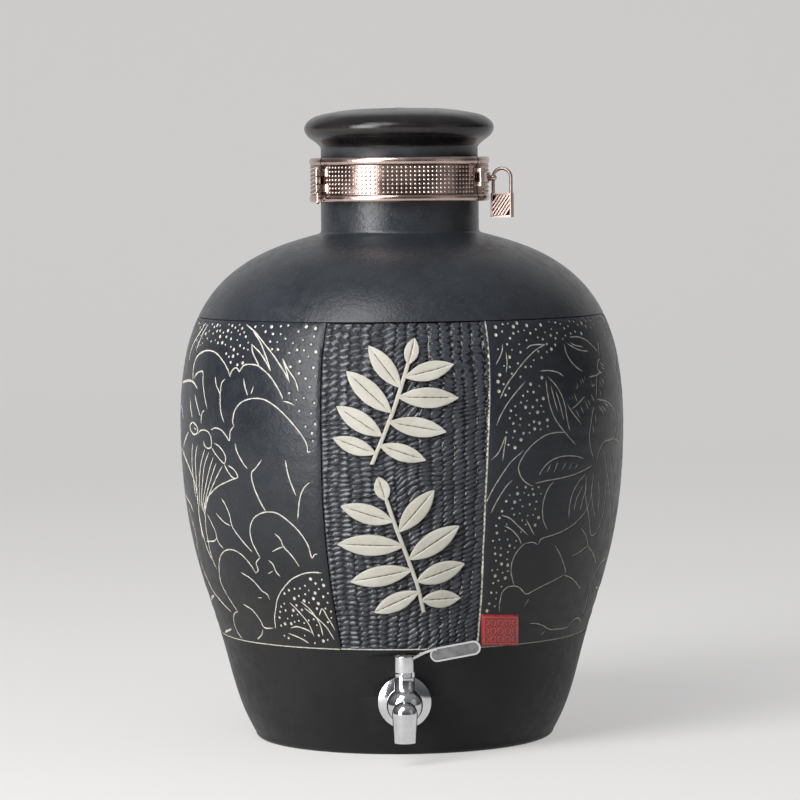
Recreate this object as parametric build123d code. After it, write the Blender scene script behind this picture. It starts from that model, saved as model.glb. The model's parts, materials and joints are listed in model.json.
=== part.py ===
from build123d import *
import math
import os

# Glazed clay drinks jar: a thrown pot, a stopper lid, a hinged locking hoop with a
# small padlock round the joint of the two, and a lever tap low on the front.
# Millimetres, +Z up, origin at the middle of the foot, tap towards -Y.

# ---- pot ----
FOOT_RADIUS = 86.6
FOOT_CORNER = (90.0, 3.6)
FOOT_CORNER_ARC = -4.2
BELLY = [
    FOOT_CORNER,
    (98.4, 21.6),
    (108.6, 57.6),
    (119.7, 93.6),
    (128.3, 129.6),
    (132.8, 177.6),
    (131.7, 213.6),
    (125.4, 243.6),
    (111.4, 268.8),
    (89.6, 286.8),
    (64.2, 297.6),
    (47.3, 302.2),
]
WALL = 8.0
FLOOR_TOP = 10.0
FLOOR_CORNER = 6.0
SHOULDER_TURN = 8.0
NECK_RADIUS = 47.3
NECK_ROOT_FILLET = 2.5
MOUTH_RADIUS = 39.5
RIM_HEIGHT = 333.0
RIM_FILLET = 1.6

# ---- decoration on the belly ----
# Leaf drawings are in millimetres of drawing, x to the right and y up, from a middle
# given as (degrees from the front, height).
PANEL_BOTTOM = 63.6
PANEL_TOP = 253.4
PANEL_LEFT = -20.5
PANEL_RIGHT = 22.4
PANEL_DEPTH = 0.7
DRAWING_SCALE = 2.1817
LEAF_RISE = 1.7
STEM_HALF_WIDTH = 1.2
UPPER_SPRIG_AT = (-0.6, 206.0)
UPPER_STEM = [(-15, -33), (-9, -18), (-3, -2), (2, 14), (5, 24)]
UPPER_LEAVES = [
    ((-12.5, -27), (-36, -18), 9.5),
    ((-9, -17), (-34, 0), 11.0),
    ((-4, -4), (-29, 20), 11.5),
    ((1, 10), (-17, 34), 10.5),
    ((-11, -22), (14, -31), 9.5),
    ((-6, -9), (25, -15), 11.0),
    ((-1, 5), (32, 4), 11.5),
    ((3, 16), (30, 23), 10.5),
    ((5, 23), (9, 38), 8.0),
]
LOWER_SPRIG_AT = (-0.9, 125.0)
LOWER_STEM = [(14, -38), (10, -22), (4, -5), (-2, 12), (-7, 28)]
LOWER_LEAVES = [
    ((12.5, -31), (36, -30), 10.0),
    ((9.5, -20), (37, -10), 11.5),
    ((5, -7), (33, 12), 12.0),
    ((-0.5, 9), (19, 33), 11.0),
    ((11, -26), (-16, -38), 10.0),
    ((7, -13), (-29, -20), 11.5),
    ((2.5, 1), (-35, 2), 12.0),
    ((-3, 15), (-32, 24), 11.0),
    ((-7, 27), (-11, 41), 8.5),
]
TABLET_SIZE = (21.6, 18.8)
TABLET_AT = (55.5, 73.6)
TABLET_FALL = 1.7
TABLET_RISE = 1.1
BEYOND = 200.0

# ---- lid ----
CAP_OUTLINE = [
    (0.0, 377.0),
    (25.0, 376.2),
    (44.0, 373.6),
    (53.5, 370.0),
    (56.8, 365.2),
    (54.8, 360.2),
    (50.0, 356.4),
    (47.0, 353.0),
]
STEM_RADIUS = 47.0
PLUG_RADIUS = 36.6
PLUG_BOTTOM = 312.0
LID_HOLLOW = [
    (29.0, 335.0),
    (38.0, 342.0),
    (38.0, 352.0),
    (46.0, 360.0),
    (43.0, 367.0),
    (0.0, 369.0),
]
GASKET_THICKNESS = 1.4
GASKET_INNER_RADIUS = 37.0
GASKET_OUTER_RADIUS = 45.5
SEAL_GROOVE_DEPTH = 1.6
SEAL_BOTTOM = 317.0
SEAL_TOP = 327.0
SEAL_RIB_COUNT = 3
SEAL_CLEARANCE = 0.3
SEAL_ROOT_PROUD = 0.2

# ---- hoop: a C section bent round the joint of lid and neck ----
HOOP_RADIUS = 54.0
HOOP_BOTTOM = 320.8
HOOP_TOP = 347.2
HOOP_SHEET = 1.0
HOOP_BEAD = 4.5
HOOP_BEAD_CROWN = 0.9
HOOP_LIP_RADIUS = 48.0
LINER_GAP = 0.3
HINGE_AZIMUTH = 210.0
CLASP_AZIMUTH = 330.0
END_GAP = 1.0

# ---- hoop hinge ----
PIVOT_RADIUS = 56.1
KNUCKLE_RADIUS = 1.8
KNUCKLE_HEIGHTS = [(327.3, 331.6), (331.8, 336.2), (336.4, 340.7)]
PIN_RADIUS = 0.8
PIN_TAIL_BOTTOM = 321.0
PIN_TAIL_RADIUS = 1.1
PIN_CHAMFER = 0.2
PIN_TOP_PROUD = 0.5
RUNNING_GAP = 0.06
LEAF_SHEET = 1.0
LEAF_SINK = 0.3
LEAF_ANGLE = 6.5

# ---- clasp ----
BARREL_RADIUS = 2.0
BARREL_BOTTOM = 329.7
BARREL_TOP = 340.2
EAR_HEIGHT = 2.2
EAR_GAP = 0.15
EAR_LEAF_ANGLE = 4.5
CLASP_PIN_PROUD = 0.3
LINK_BARREL_RADIUS = 1.8
LINK_INNER_RADIUS = 54.45
LINK_SHEET = 0.9
LINK_BOTTOM = 332.1
LINK_TOP = 337.8
EYE = (55.85, -11.1)
EYE_HEIGHT = 334.4
EYE_BALL_RADIUS = 2.2
EYE_HALF_HEIGHT = 1.6
EYE_HOLE_RADIUS = 1.45
CATCH_AZIMUTH = 341.0
CATCH_LENGTH = 2.2
CATCH_HEIGHT = 2.4
CATCH_RADIUS = 55.1
CATCH_EDGE = 0.3
WINDOW_MARGIN = 0.6
WINDOW_SLIDE = 2.0
WINDOW_CUT = 4.0

# ---- padlock ----
PADLOCK_YAW = -17.0
CASE_WIDTH = 13.3
CASE_HEIGHT = 14.4
CASE_THICKNESS = 5.0
CASE_BOTTOM = 310.9
CASE_CORNER = 0.8
FACE_PLATE_MARGIN = 1.3
FACE_PLATE_THICKNESS = 0.5
FACE_RIB_COUNT = 7
FACE_RIB_PITCH = 2.0
FACE_RIB_WIDTH = 0.9
FACE_RIB_SLANT = 55.0
SHACKLE_SPACING = 11.0
SHACKLE_RADIUS = 1.0
SHACKLE_SPRINGING = 334.5
SHORT_LEG_DEPTH = 3.0
LONG_LEG_DEPTH = 9.5
SHACKLE_GAP = 0.08
CYLINDER_RADIUS = 2.6
CYLINDER_LENGTH = 7.0
CYLINDER_WALL = 0.8
KEYWAY = (2.6, 0.7, 4.0)
LEG_END_GAP = 0.5

# ---- tap ----
TAP_HEIGHT = 33.2
SEAT_FACE = -103.4
SEAT_RADIUS = 14.4
SPOT_FACE = -94.4
SPOT_RADIUS = 13.0
WALL_HOLE_RADIUS = 6.6
FACET = [(-87.9, 0.0), (-107.0, 60.0), (-110.5, 63.0)]
FACET_REACH = 150.0
FACET_HALF_WIDTH = 60.0
SEAT_ROOT = 2.0
CUT_PAST = 25.0
SHANK_RADIUS = 6.0
SHANK_END = -82.0
SHANK_BORE = 3.4
OUTER_WASHER_THICKNESS = 2.0
OUTER_WASHER_RADIUS = 13.8
INNER_WASHER_THICKNESS = 2.2
INNER_WASHER_RADIUS = 11.5
METAL_WASHER_THICKNESS = 1.2
LOCK_NUT_THICKNESS = 6.0
LOCK_NUT_ACROSS_FLATS = 17.0
FLANGE_RADIUS = 15.3
FLANGE_EDGE = 1.2
FLANGE_THICKNESS = 3.2
FLANGE_SHOULDER = (11.5, 0.7)
STEM_Y = -119.5
BALL_RADIUS = 10.5
NECK_TO_FLANGE_RADIUS = 7.4
NECK_ROOT = 6.0
COLLAR_RADIUS = 5.8
COLLAR_TOP = 51.6
NOTCH_FLOOR = 49.1
NOTCH_FROM = -103.0
NOTCH_TO = 13.0
SPOUT_Y = -133.5
SPOUT_ELBOW_Z = 30.0
SPOUT_ELBOW_RADIUS = 7.3
SPOUT_END_RADIUS = 6.2
SPOUT_END_Z = 13.6
SPOUT_RUN_RADIUS = 6.6
SPOUT_RUN_ROOT = 5.0
SPOUT_BORE = 4.5
SPOUT_BORE_TOP = 35.4
PLUG_GAP = 0.05
VALVE_RADIUS = 4.2
VALVE_BOTTOM = 25.0
PORT_RADIUS = 3.0
PORT_HEIGHT = 32.0
PORT_OVERLAP = 1.0
VALVE_END_GAP = 0.2
O_RING_HEIGHTS = [41.0, 45.0]
O_RING_WIRE = 0.9

# ---- lever ----
HUB_RADIUS = 5.8
HUB_BOTTOM = 52.4
HUB_TOP = 62.0
HUB_EDGE = 0.8
STOP_TAB_WIDTH = 2.0
STOP_TAB_GAP = 0.3
ARM_LINE = [(1.0, 60.6), (4.3, 61.1), (7.8, 62.6), (12.7, 64.9), (18.8, 66.4)]
ARM_THICKNESS = 1.5
ARM_HALF_WIDTH = 2.6
PADDLE_CENTRE = (29.3, 64.2)
PADDLE_LENGTH = 29.4
PADDLE_HEIGHT = 8.3
PADDLE_TILT = 10.2
PADDLE_THICKNESS = 2.6
PADDLE_RIM = 1.0
PADDLE_DISH = 0.6
SCREW_HEAD_RADIUS = 2.4
SCREW_SHANK_RADIUS = 1.5
SCREW_HEAD_THICKNESS = 1.2
SCREW_DEPTH = 12.0


def polar(radius, azimuth, height=0.0):
    """A point from its radius and its azimuth, which runs from +X towards +Y."""
    turn = math.radians(azimuth)
    return Vector(radius * math.cos(turn), radius * math.sin(turn), height)


def drawn(plane, edges):
    """The face inside a closed run of edges, drawn on a plane."""
    return make_face([plane * edge for edge in edges])


def turned(edges, arc=360.0, start=0.0):
    """The solid that an outline of (radius, height) sweeps round +Z."""
    return Rot(0, 0, start) * revolve(drawn(Plane.XZ, edges), Axis.Z, arc)


def outline(points):
    return [Polyline(*points, close=True)]


def slab(inner, outer, low, high):
    """The outline of a flat band between two radii and two heights."""
    return outline([(inner, low), (outer, low), (outer, high), (inner, high)])


def ring_edges(solid, radius, height):
    """The round edges of a turned solid at one radius and height."""
    return solid.edges().filter_by(
        lambda e: e.geom_type == GeomType.CIRCLE
        and abs(e.radius - radius) < 0.05
        and abs(e.arc_center.Z - height) < 0.05
    )


def disc(radius, low, high, centre=(0.0, 0.0)):
    """An upright cylinder between two heights."""
    return Pos(centre[0], centre[1], low) * extrude(Circle(radius), high - low)


def rod_y(radius, y_low, y_high, height):
    """A cylinder along Y between two depths."""
    return Pos(0, y_low, height) * Rot(-90, 0, 0) * extrude(Circle(radius), y_high - y_low)


def inset(points, depth):
    """Points moved inwards, square to the line through their neighbours."""
    moved = []
    for i, (r, z) in enumerate(points):
        r0, z0 = points[max(i - 1, 0)]
        r1, z1 = points[min(i + 1, len(points) - 1)]
        length = math.hypot(r1 - r0, z1 - z0)
        moved.append((r - depth * (z1 - z0) / length, z + depth * (r1 - r0) / length))
    return moved


# ---- pot ----


def pot_form():
    """The thrown shape, solid: foot, belly, shoulder and neck."""
    side = [
        Line((0, 0), (FOOT_RADIUS, 0)),
        RadiusArc((FOOT_RADIUS, 0), FOOT_CORNER, FOOT_CORNER_ARC),
        Spline(*BELLY),
        Polyline(BELLY[-1], (NECK_RADIUS, RIM_HEIGHT), (0, RIM_HEIGHT), (0, 0)),
    ]
    form = turned(side)
    return fillet(ring_edges(form, NECK_RADIUS, BELLY[-1][1]), NECK_ROOT_FILLET)


def pot_cavity():
    """The space inside the wall, with the mouth."""
    wall_line = inset(BELLY, WALL)[1:-1]
    low = (wall_line[0][0] - FLOOR_CORNER, FLOOR_TOP)
    high = (MOUTH_RADIUS, wall_line[-1][1] + SHOULDER_TURN)
    side = [
        Line((0, FLOOR_TOP), low),
        Spline(low, *wall_line, high),
        Polyline(high, (MOUTH_RADIUS, RIM_HEIGHT + 1), (0, RIM_HEIGHT + 1), (0, FLOOR_TOP)),
    ]
    return turned(side)


def tap_facet():
    """What is shaved off the front so that the tap has a flat field to stand on."""
    top = FACET[-1]
    back = [*FACET, (-FACET_REACH, top[1]), (-FACET_REACH, -1.0), (FACET[0][0], -1.0)]
    return extrude(drawn(Plane.YZ, outline(back)), FACET_HALF_WIDTH, both=True)


def pot_body():
    """The fired pot, bored and faced for the tap, with a sunk panel front and back."""
    body = pot_form() - tap_facet()
    panel = sunk_panel()
    body -= panel
    body -= Rot(0, 0, 180) * panel
    body += rod_y(SEAT_RADIUS, SEAT_FACE, SPOT_FACE + SEAT_ROOT, TAP_HEIGHT)
    body -= pot_cavity()
    body -= rod_y(WALL_HOLE_RADIUS, SEAT_FACE - CUT_PAST, SPOT_FACE + CUT_PAST, TAP_HEIGHT)
    body -= rod_y(SPOT_RADIUS, SPOT_FACE, SPOT_FACE + CUT_PAST, TAP_HEIGHT)
    rim = ring_edges(body, NECK_RADIUS, RIM_HEIGHT) + ring_edges(body, MOUTH_RADIUS, RIM_HEIGHT)
    return fillet(rim, RIM_FILLET)


# ---- decoration on the belly ----


def shifted_belly(distance):
    return [(radius + distance, height) for radius, height in BELLY]


def sunk_panel():
    """What is pressed out of the wall where the woven field lies."""
    floor = shifted_belly(-PANEL_DEPTH)
    side = [
        Spline(*floor),
        Polyline(floor[-1], (BEYOND, floor[-1][1]), (BEYOND, floor[0][1]), floor[0]),
    ]
    wedge = turned(side, PANEL_RIGHT - PANEL_LEFT, PANEL_LEFT - 90.0)
    return wedge & disc(BEYOND, PANEL_BOTTOM, PANEL_TOP)


def belly_skin(inner, outer):
    """The front half of a skin between two distances from the pot's wall."""
    near = shifted_belly(inner)
    far = shifted_belly(outer)
    side = [Spline(*near), Line(near[-1], far[-1]), Spline(*far), Line(far[0], near[0])]
    return turned(side, 180.0, 180.0)


def belly_radius(height):
    """The wall's radius at a height, near enough to place a drawing."""
    for (r0, z0), (r1, z1) in zip(BELLY, BELLY[1:]):
        if z0 <= height <= z1:
            return r0 + (r1 - r0) * (height - z0) / (z1 - z0)
    return BELLY[-1][0]


def seen_from_front(middle, point):
    """Where a drawing's point falls when the jar is seen square on: (x, z)."""
    height = middle[1] + point[1]
    turn = math.radians(middle[0] + point[0] / DRAWING_SCALE)
    return (belly_radius(height) * math.sin(turn), height)


def leaf_face(middle, root, tip, width):
    """A lance-shaped leaf between its root and its tip."""
    run = Vector(tip[0] - root[0], tip[1] - root[1])
    half_way = Vector(*root) + run * 0.5
    beside = Vector(-run.Y, run.X).normalized() * (width / 2)
    ends = [seen_from_front(middle, root), seen_from_front(middle, tip)]
    left = half_way + beside
    right = half_way - beside
    over = seen_from_front(middle, (left.X, left.Y))
    under = seen_from_front(middle, (right.X, right.Y))
    return make_face([ThreePointArc(ends[0], over, ends[1]), ThreePointArc(ends[1], under, ends[0])])


def stem_face(middle, stem):
    """A thin bar along the stem's points."""
    one = [seen_from_front(middle, (x - STEM_HALF_WIDTH, y)) for x, y in stem]
    other = [seen_from_front(middle, (x + STEM_HALF_WIDTH, y)) for x, y in stem]
    return make_face(Polyline(*one, *reversed(other), close=True))


def sprig(middle, stem, leaves):
    """Raised leaves on a stem, standing on the floor of the sunk panel."""
    drawing = stem_face(middle, stem)
    for root, tip, width in leaves:
        drawing += leaf_face(middle, root, tip, width)
    return extrude(Plane.XZ * drawing, BEYOND) & belly_skin(-PANEL_DEPTH, LEAF_RISE)


def seal_tablet():
    """A small raised tablet beside the panel, upright when the jar is seen square on."""
    x, height = TABLET_AT
    half_width = TABLET_SIZE[0] / 2
    half_height = TABLET_SIZE[1] / 2
    fall = TABLET_FALL / 2
    outline_points = [
        (x - half_width, height - half_height + fall),
        (x + half_width, height - half_height - fall),
        (x + half_width, height + half_height - fall),
        (x - half_width, height + half_height + fall),
    ]
    block = extrude(Plane.XZ * make_face(Polyline(*outline_points, close=True)), BEYOND)
    return block & belly_skin(0.0, TABLET_RISE)


# ---- lid ----


def lid_parts():
    """The hollow stopper lid, its flat gasket and the ribbed seal on its plug."""
    stem_bottom = RIM_HEIGHT + GASKET_THICKNESS
    outer = [
        Spline(*CAP_OUTLINE),
        Polyline(
            CAP_OUTLINE[-1],
            (STEM_RADIUS, stem_bottom),
            (PLUG_RADIUS, stem_bottom),
            (PLUG_RADIUS, PLUG_BOTTOM),
            (0, PLUG_BOTTOM),
            CAP_OUTLINE[0],
        ),
    ]
    mouth = [(0.0, PLUG_BOTTOM - 1), (LID_HOLLOW[0][0], PLUG_BOTTOM - 1)]
    seal_seat = PLUG_RADIUS - SEAL_GROOVE_DEPTH
    lid = turned(outer) - turned(outline([*mouth, *LID_HOLLOW]))
    groove = disc(PLUG_RADIUS + 1, SEAL_BOTTOM, SEAL_TOP) - disc(seal_seat, SEAL_BOTTOM, SEAL_TOP)
    lid -= groove
    gasket = disc(GASKET_OUTER_RADIUS, RIM_HEIGHT, stem_bottom) - disc(
        GASKET_INNER_RADIUS, RIM_HEIGHT, stem_bottom
    )
    return lid, gasket, seal_sleeve(seal_seat)


def seal_sleeve(inner):
    """A silicone sleeve whose sharp ribs reach out to the mouth."""
    pitch = (SEAL_TOP - SEAL_BOTTOM) / SEAL_RIB_COUNT
    root = PLUG_RADIUS + SEAL_ROOT_PROUD
    tip = MOUTH_RADIUS - SEAL_CLEARANCE
    points = [(inner, SEAL_TOP), (inner, SEAL_BOTTOM), (root, SEAL_BOTTOM)]
    for i in range(SEAL_RIB_COUNT):
        low = SEAL_BOTTOM + i * pitch
        points += [(tip, low + pitch / 2), (root, low + pitch)]
    return turned(outline(points))


# ---- hoop ----


def hoop_section(low, high):
    """The C of the hoop: two rounded beads, a flat field between them and two lips."""
    field = HOOP_RADIUS - HOOP_BEAD_CROWN
    inner = field - HOOP_SHEET
    return [
        ThreePointArc((field, low), (HOOP_RADIUS, low + HOOP_BEAD / 2), (field, low + HOOP_BEAD)),
        Line((field, low + HOOP_BEAD), (field, high - HOOP_BEAD)),
        ThreePointArc((field, high - HOOP_BEAD), (HOOP_RADIUS, high - HOOP_BEAD / 2), (field, high)),
        Polyline(
            (field, high),
            (HOOP_LIP_RADIUS, high),
            (HOOP_LIP_RADIUS, high - HOOP_SHEET),
            (inner, high - HOOP_SHEET),
            (inner, low + HOOP_SHEET),
            (HOOP_LIP_RADIUS, low + HOOP_SHEET),
            (HOOP_LIP_RADIUS, low),
            (field, low),
        ),
    ]


def liner_section(inner):
    """The rubber that fills the C and grips the clay."""
    outer = HOOP_RADIUS - HOOP_BEAD_CROWN - HOOP_SHEET
    return slab(inner, outer, HOOP_BOTTOM + HOOP_SHEET, HOOP_TOP - HOOP_SHEET)


def segment(edges, start, end):
    """One length of the hoop, a little short at both ends."""
    trim = math.degrees(END_GAP / 2 / HOOP_RADIUS)
    return turned(edges, end - start - 2 * trim, start + trim)


def knuckle(azimuth, low, high, towards, radius=KNUCKLE_RADIUS):
    """A knuckle and the leaf that carries it, which lies on the field."""
    centre = polar(PIVOT_RADIUS, azimuth)
    barrel = disc(radius, low, high, (centre.X, centre.Y))
    field = HOOP_RADIUS - HOOP_BEAD_CROWN
    near, far = sorted([azimuth, azimuth + towards])
    leaf = turned(slab(field - LEAF_SINK, field + LEAF_SHEET, low, high), far - near, near)
    # The web runs square from the barrel's axis into the leaf.
    side = 1 if towards > 0 else -1
    web = Rot(0, 0, azimuth) * Pos(0, side * radius / 2, low) * extrude(
        Pos((field + PIVOT_RADIUS) / 2, 0) * Rectangle(PIVOT_RADIUS - field, radius), high - low
    )
    return barrel + web + leaf


def pin_hole(azimuth, radius):
    centre = polar(PIVOT_RADIUS, azimuth)
    return disc(radius, HOOP_BOTTOM - 2, HOOP_TOP + 2, (centre.X, centre.Y))


def front_band():
    """The part of the hoop that opens, with two hinge knuckles and the clasp's ears."""
    band = segment(hoop_section(HOOP_BOTTOM, HOOP_TOP), HINGE_AZIMUTH, CLASP_AZIMUTH)
    for low, high in (KNUCKLE_HEIGHTS[0], KNUCKLE_HEIGHTS[2]):
        band += knuckle(HINGE_AZIMUTH, low, high, LEAF_ANGLE)
    band -= pin_hole(HINGE_AZIMUTH, PIN_RADIUS + RUNNING_GAP)
    ears = ((BARREL_BOTTOM, BARREL_BOTTOM + EAR_HEIGHT), (BARREL_TOP - EAR_HEIGHT, BARREL_TOP))
    for low, high in ears:
        band += knuckle(CLASP_AZIMUTH, low, high, -EAR_LEAF_ANGLE, BARREL_RADIUS)
    return band - pin_hole(CLASP_AZIMUTH, PIN_RADIUS)


def rear_band():
    """The part of the hoop that stays on the neck, with the middle knuckle."""
    band = segment(hoop_section(HOOP_BOTTOM, HOOP_TOP), CLASP_AZIMUTH - 360.0, HINGE_AZIMUTH)
    low, high = KNUCKLE_HEIGHTS[1]
    band += knuckle(HINGE_AZIMUTH, low, high, -LEAF_ANGLE)
    return band - pin_hole(HINGE_AZIMUTH, PIN_RADIUS)


def liners():
    """The two lengths of rubber, the rear one on the neck and the front one just off it."""
    rear = segment(liner_section(NECK_RADIUS), CLASP_AZIMUTH - 360.0, HINGE_AZIMUTH)
    front = segment(liner_section(NECK_RADIUS + LINER_GAP), HINGE_AZIMUTH, CLASP_AZIMUTH)
    return rear, front


def hinge_pin():
    """A wire pin with a ball on its tail, so that it can be drawn out by hand."""
    centre = polar(PIVOT_RADIUS, HINGE_AZIMUTH)
    top = KNUCKLE_HEIGHTS[2][1] + PIN_TOP_PROUD
    pin = disc(PIN_RADIUS, PIN_TAIL_BOTTOM, top, (centre.X, centre.Y))
    pin = chamfer(pin.edges().group_by(Axis.Z)[-1], PIN_CHAMFER)
    return pin + Pos(centre.X, centre.Y, PIN_TAIL_BOTTOM) * Sphere(PIN_TAIL_RADIUS)


def clasp_pin():
    centre = polar(PIVOT_RADIUS, CLASP_AZIMUTH)
    low = BARREL_BOTTOM - CLASP_PIN_PROUD
    high = BARREL_TOP + CLASP_PIN_PROUD
    pin = disc(PIN_RADIUS, low, high, (centre.X, centre.Y))
    return chamfer(pin.edges().group_by(Axis.Z)[0] + pin.edges().group_by(Axis.Z)[-1], PIN_CHAMFER)


def eye_ball():
    """The ball that the link's eye is bored in, flat on its top and bottom."""
    ball = Pos(EYE[0], EYE[1], EYE_HEIGHT) * Sphere(EYE_BALL_RADIUS)
    return ball & disc(EYE_BALL_RADIUS, EYE_HEIGHT - EYE_HALF_HEIGHT, EYE_HEIGHT + EYE_HALF_HEIGHT, EYE)


def clasp_eye():
    """The bored ball at the end of the link, which the padlock's bow goes through."""
    return eye_ball() - disc(EYE_HOLE_RADIUS, LINK_BOTTOM - 2, LINK_TOP + 2, EYE)


def clasp_link():
    """A strap from the clasp's barrel to the ball-shaped eye, with a window for the catch."""
    eye_azimuth = math.degrees(math.atan2(EYE[1], EYE[0])) + 360.0
    outer = LINK_INNER_RADIUS + LINK_SHEET
    section = slab(LINK_INNER_RADIUS, outer, LINK_BOTTOM, LINK_TOP)
    strap = turned(section, eye_azimuth - CLASP_AZIMUTH, CLASP_AZIMUTH)
    strap -= disc(EYE_HOLE_RADIUS, LINK_BOTTOM - 2, LINK_TOP + 2, EYE)
    low = BARREL_BOTTOM + EAR_HEIGHT + EAR_GAP
    high = BARREL_TOP - EAR_HEIGHT - EAR_GAP
    centre = polar(PIVOT_RADIUS, CLASP_AZIMUTH)
    barrel = disc(LINK_BARREL_RADIUS, low, high, (centre.X, centre.Y))
    link = strap - eye_ball() + barrel
    return link - pin_hole(CLASP_AZIMUTH, PIN_RADIUS + RUNNING_GAP) - catch_window()


def catch_window():
    """The link's window, longer towards the eye so that the opening hoop slides off the catch."""
    middle = Pos(CATCH_RADIUS, (WINDOW_SLIDE - WINDOW_MARGIN) / 2, (LINK_BOTTOM + LINK_TOP) / 2)
    length = CATCH_LENGTH + WINDOW_MARGIN + WINDOW_SLIDE
    return Rot(0, 0, CATCH_AZIMUTH) * middle * Box(WINDOW_CUT, length, CATCH_HEIGHT + 2 * WINDOW_MARGIN)


def clasp_catch():
    """A nib brazed to the rear band's field, with its outer edges rounded."""
    root = HOOP_RADIUS - HOOP_BEAD_CROWN
    middle = Pos((root + CATCH_RADIUS) / 2, 0, (LINK_BOTTOM + LINK_TOP) / 2)
    nib = middle * Box(CATCH_RADIUS - root, CATCH_LENGTH, CATCH_HEIGHT)
    nib = fillet(nib.faces().sort_by(Axis.X)[-1].edges(), CATCH_EDGE)
    return Rot(0, 0, CATCH_AZIMUTH) * (nib - disc(root, HOOP_BOTTOM, HOOP_TOP))


# ---- padlock ----


def at_padlock():
    """The padlock's own place: its origin on the short leg, +X towards the long leg."""
    return Pos(EYE[0], EYE[1], 0) * Rot(0, 0, PADLOCK_YAW)


def padlock_case():
    """The case with a sunk field on both faces, two leg holes and the cylinder's bore."""
    top = CASE_BOTTOM + CASE_HEIGHT
    middle = Pos(SHACKLE_SPACING / 2, 0, CASE_BOTTOM + CASE_HEIGHT / 2)
    case = middle * Box(CASE_WIDTH, CASE_THICKNESS, CASE_HEIGHT)
    case = fillet(case.edges().filter_by(Axis.Z), CASE_CORNER)
    width = CASE_WIDTH - 2 * FACE_PLATE_MARGIN
    height = CASE_HEIGHT - 2 * FACE_PLATE_MARGIN
    field = Box(width, FACE_PLATE_THICKNESS, height)
    for side in (-1, 1):
        case -= middle * Pos(0, side * (CASE_THICKNESS - FACE_PLATE_THICKNESS) / 2, 0) * field
    hole = SHACKLE_RADIUS + SHACKLE_GAP
    case -= disc(hole, top - SHORT_LEG_DEPTH - LEG_END_GAP, top + 1)
    case -= disc(hole, top - LONG_LEG_DEPTH - LEG_END_GAP, top + 1, (SHACKLE_SPACING, 0))
    case -= cylinder_form(CASE_BOTTOM - 1)
    return at_padlock() * case


def cylinder_form(low):
    """The key cylinder's outline: round, with two flats that follow the case's faces."""
    flats = Pos(SHACKLE_SPACING / 2, 0, CASE_BOTTOM + CYLINDER_LENGTH / 2) * Box(
        2 * CYLINDER_RADIUS, CASE_THICKNESS - 2 * CYLINDER_WALL, 2 * CYLINDER_LENGTH
    )
    high = CASE_BOTTOM + CYLINDER_LENGTH
    return disc(CYLINDER_RADIUS, low, high, (SHACKLE_SPACING / 2, 0)) & flats


def padlock_cylinder():
    """The key barrel in the bottom of the case, with its keyway."""
    width, thickness, depth = KEYWAY
    keyway = Pos(SHACKLE_SPACING / 2, 0, CASE_BOTTOM) * Box(width, thickness, 2 * depth)
    return at_padlock() * (cylinder_form(CASE_BOTTOM) - keyway)


def padlock_face_plates():
    """Two plates let into the case's faces, with slanted ribs."""
    width = CASE_WIDTH - 2 * FACE_PLATE_MARGIN
    height = CASE_HEIGHT - 2 * FACE_PLATE_MARGIN
    sheet = FACE_PLATE_THICKNESS * 0.5
    frame = Box(width, FACE_PLATE_THICKNESS, height)
    ribs = [
        Pos((i - (FACE_RIB_COUNT - 1) / 2) * FACE_RIB_PITCH, 0, 0)
        * Rot(0, 90 - FACE_RIB_SLANT, 0)
        * Box(FACE_RIB_WIDTH, FACE_PLATE_THICKNESS, 2 * height)
        for i in range(FACE_RIB_COUNT)
    ]
    plates = []
    for side in (-1, 1):
        centre = Pos(SHACKLE_SPACING / 2, 0, CASE_BOTTOM + CASE_HEIGHT / 2)
        floor = Pos(0, side * (CASE_THICKNESS / 2 - FACE_PLATE_THICKNESS + sheet / 2), 0)
        plate = floor * Box(width, sheet, height)
        rise = Pos(0, side * (CASE_THICKNESS - FACE_PLATE_THICKNESS) / 2, 0)
        for rib in ribs:
            plate += rise * (rib & frame)
        plates.append(at_padlock() * centre * plate)
    return plates


def padlock_shackle():
    """A round wire bow with a long leg that stays in the case and a short free one."""
    top = CASE_BOTTOM + CASE_HEIGHT
    path = Polyline((0, 0, top - SHORT_LEG_DEPTH), (0, 0, SHACKLE_SPRINGING))
    path += ThreePointArc(
        (0, 0, SHACKLE_SPRINGING),
        (SHACKLE_SPACING / 2, 0, SHACKLE_SPRINGING + SHACKLE_SPACING / 2),
        (SHACKLE_SPACING, 0, SHACKLE_SPRINGING),
    )
    path += Line((SHACKLE_SPACING, 0, SHACKLE_SPRINGING), (SHACKLE_SPACING, 0, top - LONG_LEG_DEPTH))
    bow = sweep(Plane((0, 0, top - SHORT_LEG_DEPTH), z_dir=(0, 0, 1)) * Circle(SHACKLE_RADIUS), path)
    return at_padlock() * bow


# ---- tap ----


def escutcheon():
    """The dished cover ring between the tap's body and the pot."""
    back = SEAT_FACE - OUTER_WASHER_THICKNESS
    front = back - FLANGE_THICKNESS
    bore = NECK_TO_FLANGE_RADIUS
    shoulder = (FLANGE_SHOULDER[0], front + FLANGE_SHOULDER[1])
    side = [
        Polyline((bore, front), (bore, back), (FLANGE_RADIUS, back), (FLANGE_RADIUS, back - FLANGE_EDGE)),
        Spline((FLANGE_RADIUS, back - FLANGE_EDGE), shoulder, (bore, front)),
    ]
    return Pos(0, 0, TAP_HEIGHT) * revolve(drawn(Plane.XY, side), Axis.Y)


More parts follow.
